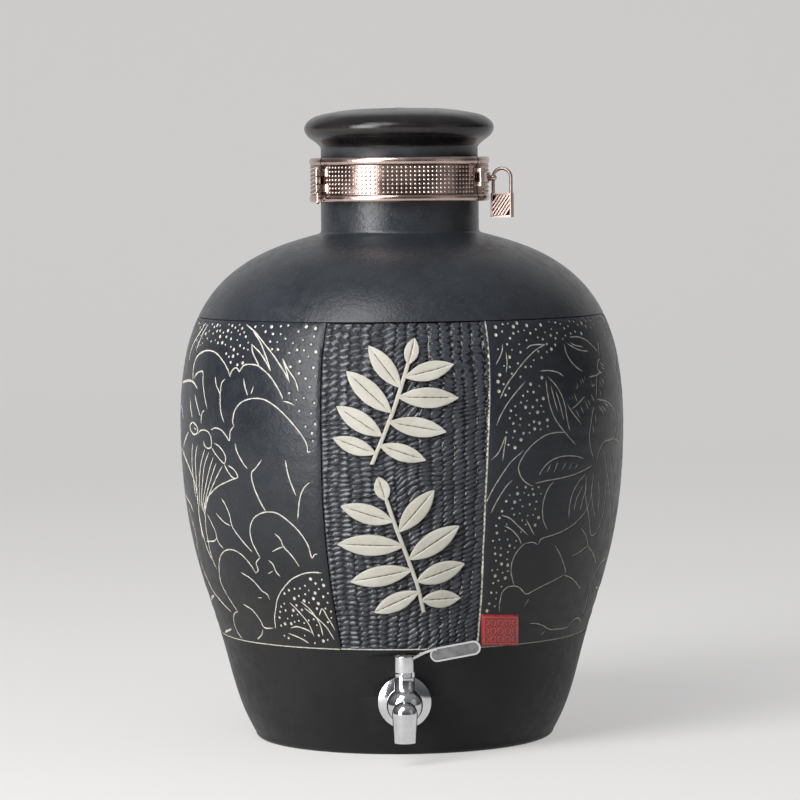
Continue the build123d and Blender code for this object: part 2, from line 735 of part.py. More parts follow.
def tap_body():
    """Cast body: threaded shank, ball with a collar for the valve, elbow and spout."""
    back = SEAT_FACE - OUTER_WASHER_THICKNESS
    body = valve_housing()
    body += rod_y(NECK_TO_FLANGE_RADIUS, STEM_Y + NECK_ROOT, back, TAP_HEIGHT)
    body += rod_y(SHANK_RADIUS, back, SHANK_END, TAP_HEIGHT)
    body += rod_y(SPOUT_RUN_RADIUS, SPOUT_Y, STEM_Y - SPOUT_RUN_ROOT, SPOUT_ELBOW_Z)
    body += spout()
    body -= stop_notch()
    body -= disc(VALVE_RADIUS + PLUG_GAP, VALVE_BOTTOM - VALVE_END_GAP, COLLAR_TOP + 1, (0, STEM_Y))
    body -= rod_y(SHANK_BORE, STEM_Y + PORT_OVERLAP, SHANK_END + 1, TAP_HEIGHT)
    body -= rod_y(PORT_RADIUS, SPOUT_Y, STEM_Y - PORT_OVERLAP, PORT_HEIGHT)
    body -= disc(SPOUT_BORE, SPOUT_END_Z - 1, SPOUT_BORE_TOP, (0, SPOUT_Y))
    return body


def valve_housing():
    """The ball and the collar above it, turned in one piece."""
    meet = TAP_HEIGHT + math.sqrt(BALL_RADIUS**2 - COLLAR_RADIUS**2)
    side = [
        ThreePointArc((0, TAP_HEIGHT - BALL_RADIUS), (BALL_RADIUS, TAP_HEIGHT), (COLLAR_RADIUS, meet)),
        Polyline(
            (COLLAR_RADIUS, meet),
            (COLLAR_RADIUS, COLLAR_TOP),
            (0, COLLAR_TOP),
            (0, TAP_HEIGHT - BALL_RADIUS),
        ),
    ]
    return Pos(0, STEM_Y, 0) * turned(side)


def spout():
    """The nose, which tapers down from the elbow's dome."""
    dome_top = SPOUT_ELBOW_Z + SPOUT_ELBOW_RADIUS
    shoulder = SPOUT_ELBOW_RADIUS * math.sqrt(0.5)
    side = [
        Polyline(
            (0, dome_top),
            (0, SPOUT_END_Z),
            (SPOUT_END_RADIUS, SPOUT_END_Z),
            (SPOUT_ELBOW_RADIUS, SPOUT_ELBOW_Z),
        ),
        ThreePointArc(
            (SPOUT_ELBOW_RADIUS, SPOUT_ELBOW_Z),
            (shoulder, SPOUT_ELBOW_Z + shoulder),
            (0, dome_top),
        ),
    ]
    return Pos(0, SPOUT_Y, 0) * turned(side)


def stop_notch():
    """The step in the collar that the lever's tab turns in."""
    section = slab(VALVE_RADIUS - 0.5, COLLAR_RADIUS + 1, NOTCH_FLOOR, COLLAR_TOP + 1)
    return Pos(0, STEM_Y, 0) * turned(section, NOTCH_TO - NOTCH_FROM, NOTCH_FROM)


def wall_washers():
    """What clamps the tap in the pot's wall, from the outside inwards."""
    outer = ring_y(OUTER_WASHER_RADIUS, SHANK_RADIUS, SEAT_FACE - OUTER_WASHER_THICKNESS, SEAT_FACE)
    step = SPOT_FACE + INNER_WASHER_THICKNESS
    inner = ring_y(INNER_WASHER_RADIUS, SHANK_RADIUS, SPOT_FACE, step)
    metal = ring_y(INNER_WASHER_RADIUS, SHANK_RADIUS, step, step + METAL_WASHER_THICKNESS)
    return outer, inner, metal


def ring_y(outer, inner, y_low, y_high):
    return rod_y(outer, y_low, y_high, TAP_HEIGHT) - rod_y(inner, y_low, y_high, TAP_HEIGHT)


def lock_nut():
    low = SPOT_FACE + INNER_WASHER_THICKNESS + METAL_WASHER_THICKNESS
    hexagon = RegularPolygon(LOCK_NUT_ACROSS_FLATS / 2, 6, major_radius=False)
    nut = Pos(0, low, TAP_HEIGHT) * Rot(-90, 0, 0) * extrude(hexagon, LOCK_NUT_THICKNESS)
    return nut - rod_y(SHANK_RADIUS, low, low + LOCK_NUT_THICKNESS, TAP_HEIGHT)


def valve_plug():
    """The turning plug. Its cross port lies along X while the lever is shut."""
    plug = disc(VALVE_RADIUS, VALVE_BOTTOM, HUB_BOTTOM, (0, STEM_Y))
    plug -= Pos(0, STEM_Y, PORT_HEIGHT) * Rot(0, 90, 0) * Cylinder(PORT_RADIUS, 20)
    for height in O_RING_HEIGHTS:
        plug -= o_ring_groove(height)
    return plug - lever_screw_hole()


def o_ring_groove(height):
    half = O_RING_WIRE / 2
    outer = disc(VALVE_RADIUS + 1, height - half, height + half, (0, STEM_Y))
    return outer - disc(VALVE_RADIUS - O_RING_WIRE, height - half, height + half, (0, STEM_Y))


def valve_o_rings():
    """Two rubber rings, pressed square by their grooves."""
    rings = []
    for height in O_RING_HEIGHTS:
        half = O_RING_WIRE / 2
        ring = disc(VALVE_RADIUS, height - half, height + half, (0, STEM_Y))
        rings.append(ring - disc(VALVE_RADIUS - O_RING_WIRE, height - half, height + half, (0, STEM_Y)))
    return rings


def lever_screw_hole():
    return disc(SCREW_SHANK_RADIUS, HUB_TOP - SCREW_DEPTH, HUB_TOP + 5, (0, STEM_Y))


def lever():
    """Hub, thin rising arm and a dished paddle, which points along +X when shut."""
    hub = disc(HUB_RADIUS, HUB_BOTTOM, HUB_TOP, (0, STEM_Y))
    hub = fillet(hub.edges().group_by(Axis.Z)[-1], HUB_EDGE)
    hub += stop_tab()
    side = Plane((0, STEM_Y, 0), x_dir=(1, 0, 0), z_dir=(0, -1, 0))
    tilt = Pos(PADDLE_CENTRE[0], PADDLE_CENTRE[1]) * Rot(0, 0, PADDLE_TILT)
    blank = side * tilt * SlotOverall(PADDLE_LENGTH, PADDLE_HEIGHT)
    paddle = extrude(blank, PADDLE_THICKNESS / 2, both=True)
    inner_slot = SlotOverall(PADDLE_LENGTH - 2 * PADDLE_RIM, PADDLE_HEIGHT - 2 * PADDLE_RIM)
    dish_shape = side * tilt * inner_slot
    for face in (-1, 1):
        floor = Pos(0, face * (PADDLE_THICKNESS / 2 - PADDLE_DISH / 2), 0)
        paddle -= floor * extrude(dish_shape, PADDLE_DISH / 2, both=True)
    whole = hub + arm(side) + paddle
    whole -= disc(SCREW_SHANK_RADIUS, HUB_BOTTOM - 1, HUB_TOP + 5, (0, STEM_Y))
    return whole - disc(SCREW_HEAD_RADIUS, HUB_TOP - SCREW_HEAD_THICKNESS, HUB_TOP + 5, (0, STEM_Y))


def arm(side):
    """The strip that runs from the hub's top along the paddle's upper edge."""
    top = Spline(*ARM_LINE)
    low_points = [(x, z - ARM_THICKNESS) for x, z in ARM_LINE]
    low = Spline(*low_points)
    ends = [Line(ARM_LINE[0], low_points[0]), Line(ARM_LINE[-1], low_points[-1])]
    return extrude(drawn(side, [top, low, *ends]), ARM_HALF_WIDTH, both=True)


def stop_tab():
    """The tab under the hub that meets the notch's ends."""
    tab = Pos((VALVE_RADIUS + HUB_RADIUS) / 2, 0, (NOTCH_FLOOR + HUB_BOTTOM) / 2 + STOP_TAB_GAP)
    reach = HUB_RADIUS - VALVE_RADIUS - STOP_TAB_GAP
    return Pos(0, STEM_Y, 0) * tab * Box(reach, STOP_TAB_WIDTH, HUB_BOTTOM - NOTCH_FLOOR)


def lever_screw():
    """The screw that holds the lever on the plug."""
    head = disc(SCREW_HEAD_RADIUS, HUB_TOP - SCREW_HEAD_THICKNESS, HUB_TOP, (0, STEM_Y))
    return head + disc(SCREW_SHANK_RADIUS, HUB_TOP - SCREW_DEPTH, HUB_TOP, (0, STEM_Y))


def build():
    """Every node by name: a solid, or a list of separate solids that share a node."""
    lid, gasket, seal = lid_parts()
    rear_liner, front_liner = liners()
    outer_washer, inner_washer, metal_washer = wall_washers()
    return {
        "pot_body": pot_body(),
        "upper_leaf_sprig": sprig(UPPER_SPRIG_AT, UPPER_STEM, UPPER_LEAVES),
        "lower_leaf_sprig": sprig(LOWER_SPRIG_AT, LOWER_STEM, LOWER_LEAVES),
        "seal_tablet": seal_tablet(),
        "lid": lid,
        "lid_gasket": gasket,
        "lid_seal_sleeve": seal,
        "rear_band": rear_band(),
        "rear_band_liner": rear_liner,
        "front_band": front_band(),
        "front_band_liner": front_liner,
        "hinge_pin": hinge_pin(),
        "clasp_pin": clasp_pin(),
        "clasp_link": clasp_link(),
        "clasp_eye": clasp_eye(),
        "clasp_catch": clasp_catch(),
        "padlock_case": padlock_case(),
        "padlock_cylinder": padlock_cylinder(),
        "padlock_face_plates": padlock_face_plates(),
        "padlock_shackle": padlock_shackle(),
        "tap_body": tap_body(),
        "tap_escutcheon": escutcheon(),
        "tap_outer_washer": outer_washer,
        "tap_inner_washer": inner_washer,
        "tap_metal_washer": metal_washer,
        "tap_lock_nut": lock_nut(),
        "valve_plug": valve_plug(),
        "valve_o_rings": valve_o_rings(),
        "tap_lever": lever(),
        "lever_screw": lever_screw(),
    }


def save(nodes):
    os.makedirs("parts", exist_ok=True)
    for name, shape in nodes.items():
        if isinstance(shape, list):
            shape = Compound(children=shape)
        export_step(shape, f"parts/{name}.step")


save(build())
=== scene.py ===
import json
import math
import random
import bmesh
import bpy
import numpy as np
from mathutils import Matrix, Vector
from mathutils.kdtree import KDTree

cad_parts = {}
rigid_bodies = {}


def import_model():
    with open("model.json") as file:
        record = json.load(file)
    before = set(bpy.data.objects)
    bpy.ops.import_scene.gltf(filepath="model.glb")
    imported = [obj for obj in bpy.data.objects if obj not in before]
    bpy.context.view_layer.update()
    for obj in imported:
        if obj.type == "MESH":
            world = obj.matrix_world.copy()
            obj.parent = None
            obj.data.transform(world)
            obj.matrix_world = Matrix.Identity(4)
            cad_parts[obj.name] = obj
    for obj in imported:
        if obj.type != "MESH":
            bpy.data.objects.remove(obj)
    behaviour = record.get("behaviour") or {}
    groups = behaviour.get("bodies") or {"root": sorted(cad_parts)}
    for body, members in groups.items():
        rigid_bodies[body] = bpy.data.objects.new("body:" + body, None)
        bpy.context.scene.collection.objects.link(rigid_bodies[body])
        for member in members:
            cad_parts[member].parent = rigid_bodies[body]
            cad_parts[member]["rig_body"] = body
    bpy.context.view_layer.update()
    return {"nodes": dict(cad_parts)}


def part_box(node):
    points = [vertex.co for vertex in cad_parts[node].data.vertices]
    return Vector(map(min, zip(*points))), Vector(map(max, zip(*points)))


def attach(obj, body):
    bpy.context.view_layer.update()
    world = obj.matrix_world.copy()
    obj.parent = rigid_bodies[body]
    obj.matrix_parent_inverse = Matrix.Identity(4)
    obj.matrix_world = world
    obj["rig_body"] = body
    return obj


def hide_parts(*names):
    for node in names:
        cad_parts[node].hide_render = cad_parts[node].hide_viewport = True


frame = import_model()

# Drawing units are millimetres; meshes are in metres. The jar stands at the origin with its
# tap towards -Y. Around the belly a place is (degrees from the front, height in mm).
MM = 0.001
ARC = 2.1817  # mm of drawing width for one degree round the belly
MERGE = 2e-6  # metres between loose corners of a CAD mesh that are one point
PANEL_LOW = 63.6
PANEL_HIGH = 253.4
NECK_ROOT = 302.2
RIM_HEIGHT = 333.0
RIM_ROLL = 1.6
NECK_RADIUS = 47.3
MOUTH_RADIUS = 39.5
HOOP_MIDDLE = 334.0
dice = random.Random(11)


# ---- camera, floor and lamps ----

CAMERA_PLACE = (-0.001, -2.4, 0.345)
CAMERA_PITCH = math.radians(3.42)
CAMERA_ROLL = math.radians(0.567)
FLOOR_REACH = 4.0
SWEEP_START = 2.2
SWEEP_RADIUS = 1.2
SWEEP_STEPS = 12
PAPER_GLOW = 0.6
ROOM_LIGHT = 0.55


def placed(name, data):
    """A new object in the scene."""
    made = bpy.data.objects.new(name, data)
    bpy.context.scene.collection.objects.link(made)
    return made


def set_camera():
    """A long lens in front of the jar, a little above its middle and looking slightly down."""
    forward = Vector((0.0, math.cos(CAMERA_PITCH), -math.sin(CAMERA_PITCH)))
    level = Vector((0.0, math.sin(CAMERA_PITCH), math.cos(CAMERA_PITCH)))
    side = Vector((1.0, 0.0, 0.0))
    right = side * math.cos(CAMERA_ROLL) - level * math.sin(CAMERA_ROLL)
    up = side * math.sin(CAMERA_ROLL) + level * math.cos(CAMERA_ROLL)
    data = bpy.data.cameras.new("camera")
    data.lens = 180.0
    data.sensor_width = 36.0
    data.clip_start = 0.1
    data.clip_end = 50.0
    camera = placed("camera", data)
    turn = Matrix((right, up, -forward)).transposed().to_4x4()
    camera.matrix_world = Matrix.Translation(CAMERA_PLACE) @ turn
    bpy.context.scene.camera = camera


def lamp(name, place, aim, width, height, power):
    """A soft box that looks at a point."""
    data = bpy.data.lights.new(name, "AREA")
    data.shape = "RECTANGLE"
    data.size = width
    data.size_y = height
    data.energy = power
    box = placed(name, data)
    box.location = place
    box.rotation_euler = (Vector(aim) - Vector(place)).to_track_quat("-Z", "Y").to_euler()


def lay_floor():
    """A pale floor that sweeps up into a backdrop far behind the jar."""
    shape = bmesh.new()
    profile = [(-FLOOR_REACH, 0.0), (SWEEP_START, 0.0)]
    for step in range(1, SWEEP_STEPS + 1):
        angle = math.radians(90.0 * step / SWEEP_STEPS)
        out = SWEEP_START + SWEEP_RADIUS * math.sin(angle)
        profile.append((out, SWEEP_RADIUS - SWEEP_RADIUS * math.cos(angle)))
    profile.append((SWEEP_START + SWEEP_RADIUS, FLOOR_REACH))
    points = [shape.verts.new((-FLOOR_REACH, y, z)) for y, z in profile]
    edges = [shape.edges.new(pair) for pair in zip(points, points[1:])]
    swept = bmesh.ops.extrude_edge_only(shape, edges=edges)["geom"]
    bmesh.ops.translate(shape, verts=corners(swept), vec=(2.0 * FLOOR_REACH, 0.0, 0.0))
    bmesh.ops.recalc_face_normals(shape, faces=shape.faces)
    paper = Recipe("studio_paper", Base_Color=rgb(0.42, 0.415, 0.41), Roughness=0.9)
    paper.skin.inputs["Emission Color"].default_value = rgb(0.72, 0.71, 0.7)
    ray = paper.add("LightPath")
    seen = paper.maths("MAXIMUM", ray.outputs["Is Camera Ray"], ray.outputs["Is Glossy Ray"])
    seen = paper.maths("MAXIMUM", seen, ray.outputs["Is Transmission Ray"])
    paper.wear(Emission_Strength=paper.maths("MULTIPLY", seen, PAPER_GLOW))
    floor = make_object("floor", shape, paper.material)


def set_sky():
    """An even grey room, a little brighter overhead."""
    world = bpy.data.worlds.new("room")
    bpy.context.scene.world = world
    world.use_nodes = True
    tree = world.node_tree
    place = add_node(tree, "TexCoord").outputs["Generated"]
    up = add_node(tree, "SeparateXYZ", [(0, place)]).outputs["Z"]
    share = add_node(tree, "Math", [(0, up), (1, 0.5), (2, 0.5)], operation="MULTIPLY_ADD")
    ramp = add_node(tree, "ValToRGB", [(0, share.outputs[0])])
    level, overhead = ramp.color_ramp.elements
    level.position, level.color = 0.5, rgb(0.09, 0.092, 0.096)
    overhead.position, overhead.color = 0.95, rgb(0.6, 0.61, 0.64)
    light = tree.nodes["Background"].inputs
    tree.links.new(ramp.outputs[0], light["Color"])
    light["Strength"].default_value = ROOM_LIGHT


# ---- finishes ----

# Heights and distances from the jar's axis in metres, where a finish changes.
# Below these heights the clay turns duller and darker; the darkening is partly painted shade.
GLAZE_AND_SHADE_FADES = (0.07, 0.19)
LID_EDGE = 0.3655
LID_STEM_TOP = (0.3535, 0.3552)
HOOP_FIELD = (0.0086, 0.0092)
HOOP_BEAD_FOOT = 0.0089
HOOP_FIELD_REACH = (0.0533, 0.0536)
KNUCKLE_SPLIT = 0.00225
KNUCKLE_REACH = (0.0541, 0.0544)
KNUCKLE_SIDE = (-0.03, -0.02)
CLAY_SHINE = {"dull": 0.22, "carved": 0.34}  # specular level, 0.5 on other clay


def add_node(tree, kind, sockets=(), **settings):
    """Adds a node; sockets is a list of (name or number, value or output)."""
    made = tree.nodes.new("ShaderNode" + kind)
    for key, value in settings.items():
        setattr(made, key, value)
    for socket, value in sockets:
        if isinstance(value, bpy.types.NodeSocket):
            tree.links.new(value, made.inputs[socket])
        else:
            made.inputs[socket].default_value = value
    return made


class Recipe:
    """A finish: shader sockets are set directly, and only patterns are linked to them."""

    def __init__(self, name, **sockets):
        self.material = bpy.data.materials.new(name)
        self.material.use_nodes = True
        self.tree = self.material.node_tree
        self.skin = self.tree.nodes["Principled BSDF"]
        for socket, value in sockets.items():
            self.skin.inputs[socket.replace("_", " ")].default_value = value
        self.place = None

    def add(self, kind, sockets=(), **settings):
        return add_node(self.tree, kind, sockets, **settings)

    def spot(self, stretch=None):
        """The point on the object, stretched for grain that runs one way."""
        if self.place is None:
            self.place = self.add("TexCoord").outputs["Object"]
        if stretch is None:
            return self.place
        return self.add("Mapping", [("Vector", self.place), ("Scale", stretch)]).outputs[0]

    def split(self):
        return self.add("SeparateXYZ", [(0, self.spot())]).outputs

    def noise(self, scale, detail=2.0, rough=0.5, stretch=None):
        sockets = [("Vector", self.spot(stretch)), ("Scale", scale)]
        sockets += [("Detail", detail), ("Roughness", rough)]
        return self.add("TexNoise", sockets).outputs[0]

    def cloud(self, scale, detail, rough=0.6, low=0.3, high=0.7):
        """Soft patches between 0 and 1."""
        return self.span(self.noise(scale, detail, rough), low, high)

    def mark(self, name):
        """A number stored on the mesh's points."""
        return self.add("Attribute", attribute_name=name).outputs["Fac"]

    def maths(self, operation, a, b=0.0, c=0.0):
        return self.add("Math", [(0, a), (1, b), (2, c)], operation=operation).outputs[0]

    def off(self, value, middle):
        """How far a value is from a middle, either way."""
        return self.maths("ABSOLUTE", self.maths("SUBTRACT", value, middle))

    def span(self, value, low, high, start=0.0, end=1.0):
        sockets = [("Value", value), ("From Min", low), ("From Max", high)]
        sockets += [("To Min", start), ("To Max", end)]
        return self.add("MapRange", sockets, interpolation_type="SMOOTHSTEP").outputs[0]

    def blend(self, share, a, b, most=1.0):
        """Colour a where share is 0 and b, or most of b, where it is 1."""
        if most != 1.0:
            share = self.maths("MULTIPLY", share, most)
        return self.add("Mix", [(0, share), (6, a), (7, b)], data_type="RGBA").outputs[2]

    def bump(self, height, depth, under=None):
        """Depth in mm of a pattern that runs from 0 to 1."""
        sockets = [("Height", height), ("Distance", depth * MM), ("Strength", 1.0)]
        if under is not None:
            sockets.append(("Normal", under))
        return self.add("Bump", sockets).outputs[0]

    def wear(self, **sockets):
        """Links patterns to the shader."""
        for socket, value in sockets.items():
            self.tree.links.new(value, self.skin.inputs[socket.replace("_", " ")])
        return self.material


def rgb(red, green, blue):
    return (red, green, blue, 1.0)


def slate_clay(name, pattern=None):
    """Slate-grey stoneware with a satin glaze that thins to dull bare clay towards the foot; the
    darker colour there is partly painted shade on the lower belly that faces down.
    """
    clay = Recipe(name, Specular_IOR_Level=CLAY_SHINE.get(pattern, 0.5))
    cloud = clay.cloud(22.0, 4.0, 0.6, 0.35, 0.7)
    patch = clay.cloud(130.0, 3.0, 0.6, 0.35, 0.68)
    fine = clay.noise(900.0, 2.0, 0.5)
    grain = clay.span(fine, 0.6, 0.72)
    thin = clay.span(clay.split()["Z"], *GLAZE_AND_SHADE_FADES, 1.0, 0.0)
    skin = clay.blend(cloud, rgb(0.017, 0.02, 0.0255), rgb(0.027, 0.031, 0.038))
    skin = clay.blend(patch, skin, rgb(0.034, 0.039, 0.047), 0.35)
    skin = clay.blend(grain, skin, rgb(0.07, 0.075, 0.085), 0.45)
    # Bare clay mixed with painted shade: the lower belly and foot are painted darker.
    bare_clay_and_foot_shade = clay.blend(cloud, rgb(0.011, 0.0108, 0.0112), rgb(0.018, 0.0172, 0.0175))
    skin = clay.blend(thin, skin, bare_clay_and_foot_shade, 0.9)
    rough = clay.span(patch, 0.0, 1.0, 0.29, 0.36)
    rough = clay.maths("MULTIPLY_ADD", thin, 0.16, rough)
    lift = clay.bump(clay.noise(60.0, 2.0, 0.5), 0.1)
    lift = clay.bump(clay.noise(430.0, 2.0, 0.45), 0.14, lift)
    lift = clay.bump(fine, 0.14, lift)
    if pattern == "woven":
        # Painted shade makes the weave's valleys near black, and a painted highlight lightens the
        # crests.
        crest = clay.span(clay.mark("crest"), 0.02, 0.55)
        valley_shade_and_crest_light = clay.blend(crest, rgb(0.003, 0.0034, 0.0042), rgb(0.046, 0.051, 0.063))
        skin = clay.blend(0.9, skin, valley_shade_and_crest_light)
        rough = clay.span(crest, 0.0, 1.0, 0.6, 0.2)
    if pattern in ("carved", "woven"):
        bare = clay.span(clay.mark("cut"), -0.06, 0.08)
        body = clay.cloud(420.0, 3.0)
        body = clay.blend(body, rgb(0.56, 0.53, 0.44), rgb(0.74, 0.71, 0.62))
        skin = clay.blend(bare, skin, body)
        rough = clay.maths("MAXIMUM", rough, clay.maths("MULTIPLY", bare, 0.85))
    return clay.wear(Base_Color=skin, Roughness=rough, Normal=lift)


def relief_cream():
    """Matte cream slip on the raised leaves; it wears off along their edges and midribs."""
    slip = Recipe("leaf_slip", Specular_IOR_Level=0.35)
    cloud = slip.cloud(55.0, 4.0, 0.6, 0.3, 0.72)
    skin = slip.blend(cloud, rgb(0.5, 0.475, 0.405), rgb(0.6, 0.575, 0.505))
    pits = slip.cloud(900.0, 2.0, 0.5, 0.64, 0.74)
    skin = slip.blend(pits, skin, rgb(0.3, 0.275, 0.225), 0.4)
    ragged = slip.maths("MULTIPLY_ADD", slip.noise(500.0, 3.0, 0.6), 0.5, slip.mark("rim"))
    skin = slip.blend(slip.span(ragged, 0.55, 0.95), skin, rgb(0.045, 0.04, 0.036))
    rough = slip.span(cloud, 0.0, 1.0, 0.58, 0.74)
    lift = slip.bump(slip.noise(300.0, 4.0, 0.6), 0.14)
    return slip.wear(Base_Color=skin, Roughness=rough, Normal=lift)


def seal_red():
    """Red enamel that pools dark round the relief of the tablet."""
    enamel = Recipe("seal_enamel", Coat_Weight=0.5, Coat_Roughness=0.12)
    cloud = enamel.cloud(260.0, 3.0)
    skin = enamel.blend(cloud, rgb(0.28, 0.008, 0.012), rgb(0.44, 0.018, 0.022))
    raised = enamel.span(enamel.mark("raised"), 0.2, 0.9)
    skin = enamel.blend(raised, skin, rgb(0.52, 0.07, 0.055))
    rough = enamel.span(cloud, 0.0, 1.0, 0.26, 0.42)
    lift = enamel.bump(enamel.noise(500.0, 2.0, 0.5), 0.08)
    return enamel.wear(Base_Color=skin, Roughness=rough, Normal=lift)


def lid_glaze():
    """Near-black glossy glaze, brown where it runs thin on the edge, with a slate stem."""
    glaze = Recipe("lid_glaze", Specular_IOR_Level=0.45)
    cloud = glaze.cloud(60.0, 4.0, 0.6, 0.35, 0.7)
    skin = glaze.blend(cloud, rgb(0.007, 0.007, 0.008), rgb(0.013, 0.0125, 0.0125))
    ripple = glaze.maths("MULTIPLY_ADD", glaze.noise(180.0, 2.0), 0.003, glaze.split()["Z"])
    thin = glaze.span(glaze.off(ripple, LID_EDGE), 0.0, 0.0035, 1.0, 0.0)
    skin = glaze.blend(thin, skin, rgb(0.05, 0.034, 0.028), 0.35)
    stem_top = glaze.span(ripple, *LID_STEM_TOP, 1.0, 0.0)
    slate = glaze.blend(cloud, rgb(0.022, 0.026, 0.032), rgb(0.038, 0.043, 0.051))
    skin = glaze.blend(stem_top, skin, slate)
    rough = glaze.span(cloud, 0.0, 1.0, 0.19, 0.28)
    rough = glaze.maths("MULTIPLY_ADD", stem_top, 0.1, rough)
    lift = glaze.bump(glaze.noise(70.0, 2.0), 0.3)
    lift = glaze.bump(glaze.noise(800.0, 3.0, 0.6), 0.07, lift)
    return glaze.wear(Base_Color=skin, Roughness=rough, Normal=lift)


def copper(name, low, high, rough_low, rough_high, field=False):
    """Plated rose copper; on the hoop it is browned in the field, with painted shade along the
    groove at the bead's foot and in the gaps between the knuckles.
    """
    metal = Recipe(name, Metallic=1.0)
    cloud = metal.cloud(90.0, 4.0, 0.65)
    skin = metal.blend(cloud, low, high)
    rough = metal.span(cloud, 0.0, 1.0, rough_low, rough_high)
    if field:
        split = metal.split()
        middle = metal.off(split["Z"], HOOP_MIDDLE * MM)
        level = [(0, metal.spot()), (1, (1.0, 1.0, 0.0))]
        flat = metal.add("VectorMath", level, operation="MULTIPLY").outputs[0]
        reach = metal.add("VectorMath", [(0, flat)], operation="LENGTH").outputs["Value"]
        inside = metal.span(middle, *HOOP_FIELD, 1.0, 0.0)
        sunk = metal.span(reach, *HOOP_FIELD_REACH, 1.0, 0.0)
        inside = metal.maths("MULTIPLY", inside, sunk)
        skin = metal.blend(inside, skin, rgb(0.1, 0.06, 0.05), 0.55)
        # Painted shade: a near-black line along the groove at the bead's foot.
        groove = metal.span(metal.off(middle, HOOP_BEAD_FOOT), 0.0, 0.0005, 1.0, 0.0)
        skin = metal.blend(groove, skin, rgb(0.02, 0.012, 0.01), 0.9)
        # Painted shade: near black in the gaps between the hinge knuckles.
        knuckle_gap_shade = metal.span(metal.off(middle, KNUCKLE_SPLIT), 0.0002, 0.0006, 1.0, 0.0)
        knuckle_gap_shade = metal.maths("MULTIPLY", knuckle_gap_shade, metal.span(reach, *KNUCKLE_REACH))
        at_hinge = metal.span(split["X"], *KNUCKLE_SIDE, 1.0, 0.0)
        skin = metal.blend(metal.maths("MULTIPLY", knuckle_gap_shade, at_hinge), skin, rgb(0.01, 0.008, 0.007))
    lift = metal.bump(metal.noise(500.0, 3.0, 0.6), 0.03)
    return metal.wear(Base_Color=skin, Roughness=rough, Normal=lift)


def steel():
    """Polished stainless with faint polishing lines."""
    metal = Recipe("polished_steel", Metallic=1.0)
    skin = metal.blend(metal.cloud(120.0, 3.0), rgb(0.6, 0.6, 0.61), rgb(0.7, 0.7, 0.71))
    lines = metal.noise(900.0, 2.0, 0.5, (1.0, 1.0, 0.08))
    rough = metal.span(lines, 0.3, 0.7, 0.08, 0.16)
    return metal.wear(Base_Color=skin, Roughness=rough, Normal=metal.bump(lines, 0.004))


def plain_metal(name, colour, roughness):
    """A small turned part: machining lines and a little stain."""
    metal = Recipe(name, Metallic=1.0)
    cloud = metal.cloud(200.0, 3.0)
    dull = rgb(*(part * 0.72 for part in colour))
    skin = metal.blend(cloud, dull, rgb(*colour))
    rough = metal.span(cloud, 0.0, 1.0, roughness * 0.8, roughness * 1.25)
    lift = metal.bump(metal.noise(700.0, 2.0, 0.5, (1.0, 1.0, 0.2)), 0.02)
    return metal.wear(Base_Color=skin, Roughness=rough, Normal=lift)


def moulded(name, colour, roughness, sheer=0.0):
    """Moulded silicone or rubber with a dusty bloom."""
    gum = Recipe(name, Subsurface_Weight=sheer, Subsurface_Scale=0.002)
    cloud = gum.cloud(150.0, 3.0)
    dusty = rgb(*(min(1.0, part * 1.25 + 0.01) for part in colour))
    skin = gum.blend(cloud, rgb(*colour), dusty)
    rough = gum.span(cloud, 0.0, 1.0, roughness * 0.85, min(1.0, roughness * 1.15))
    lift = gum.bump(gum.noise(1200.0, 2.0, 0.5), 0.03)
    return gum.wear(Base_Color=skin, Roughness=rough, Normal=lift)


# ---- meshes ----


def corners(geometry):
    """The vertices among what a bmesh operator returns."""
    return [item for item in geometry if isinstance(item, bmesh.types.BMVert)]


def make_object(name, shape, finish, sharp=None):
    """Turns a bmesh into an object with smooth faces and, if asked, sharp edges."""
    mesh = bpy.data.meshes.new(name)
    shape.to_mesh(mesh)
    shape.free()
    mesh.shade_smooth()
    if sharp is not None:
        mesh.set_sharp_from_angle(angle=math.radians(sharp))
    mesh.materials.append(finish)
    return placed(name, mesh)


def piece(name, shape, finish, body="root", sharp=None):
    made = make_object(name, shape, finish, sharp)
    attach(made, body)
    return made


def cad_copy(node):
    """A copy of a CAD solid's mesh with its loose triangles joined."""
    shape = bmesh.new()
    shape.from_mesh(frame["nodes"][node].data)
    bmesh.ops.remove_doubles(shape, verts=shape.verts, dist=MERGE)
    return shape


def dressed(node, finish, sharp=35.0):
    """A smooth copy of a CAD solid in its own finish."""
    shape = cad_copy(node)
    flat = math.radians(0.05)
    bmesh.ops.dissolve_limit(shape, angle_limit=flat, verts=shape.verts, edges=shape.edges)
    body = frame["nodes"][node]["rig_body"]
    made = piece(node + "_finished", shape, finish, body, sharp)
    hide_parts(node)
    return made


# ---- the pot's wall ----


def flat_points(mesh, what="co"):
    """Rows of three numbers for each point of the mesh: its place, or its normal."""
    rows = np.empty(len(mesh.vertices) * 3)
    mesh.vertices.foreach_get(what, rows)
    return rows.reshape(-1, 3)


def wall_table(outside):
    """Heights and radii in mm of the pot's wall, read off the CAD solid behind the tap."""
    mesh = frame["nodes"]["pot_body"].data
    spots = flat_points(mesh) / MM
    facing = flat_points(mesh, "normal")
    radii = np.hypot(spots[:, 0], spots[:, 1])
    outward = (spots[:, 0] * facing[:, 0] + spots[:, 1] * facing[:, 1]) / np.maximum(radii, 0.001)
    side = outward > 0.2 if outside else outward < -0.2
    keep = side & (spots[:, 1] > 20.0)
    rows = np.unique(np.round(np.column_stack([spots[keep, 2], radii[keep]]), 2), axis=0)
    return rows[:, 0], rows[:, 1]


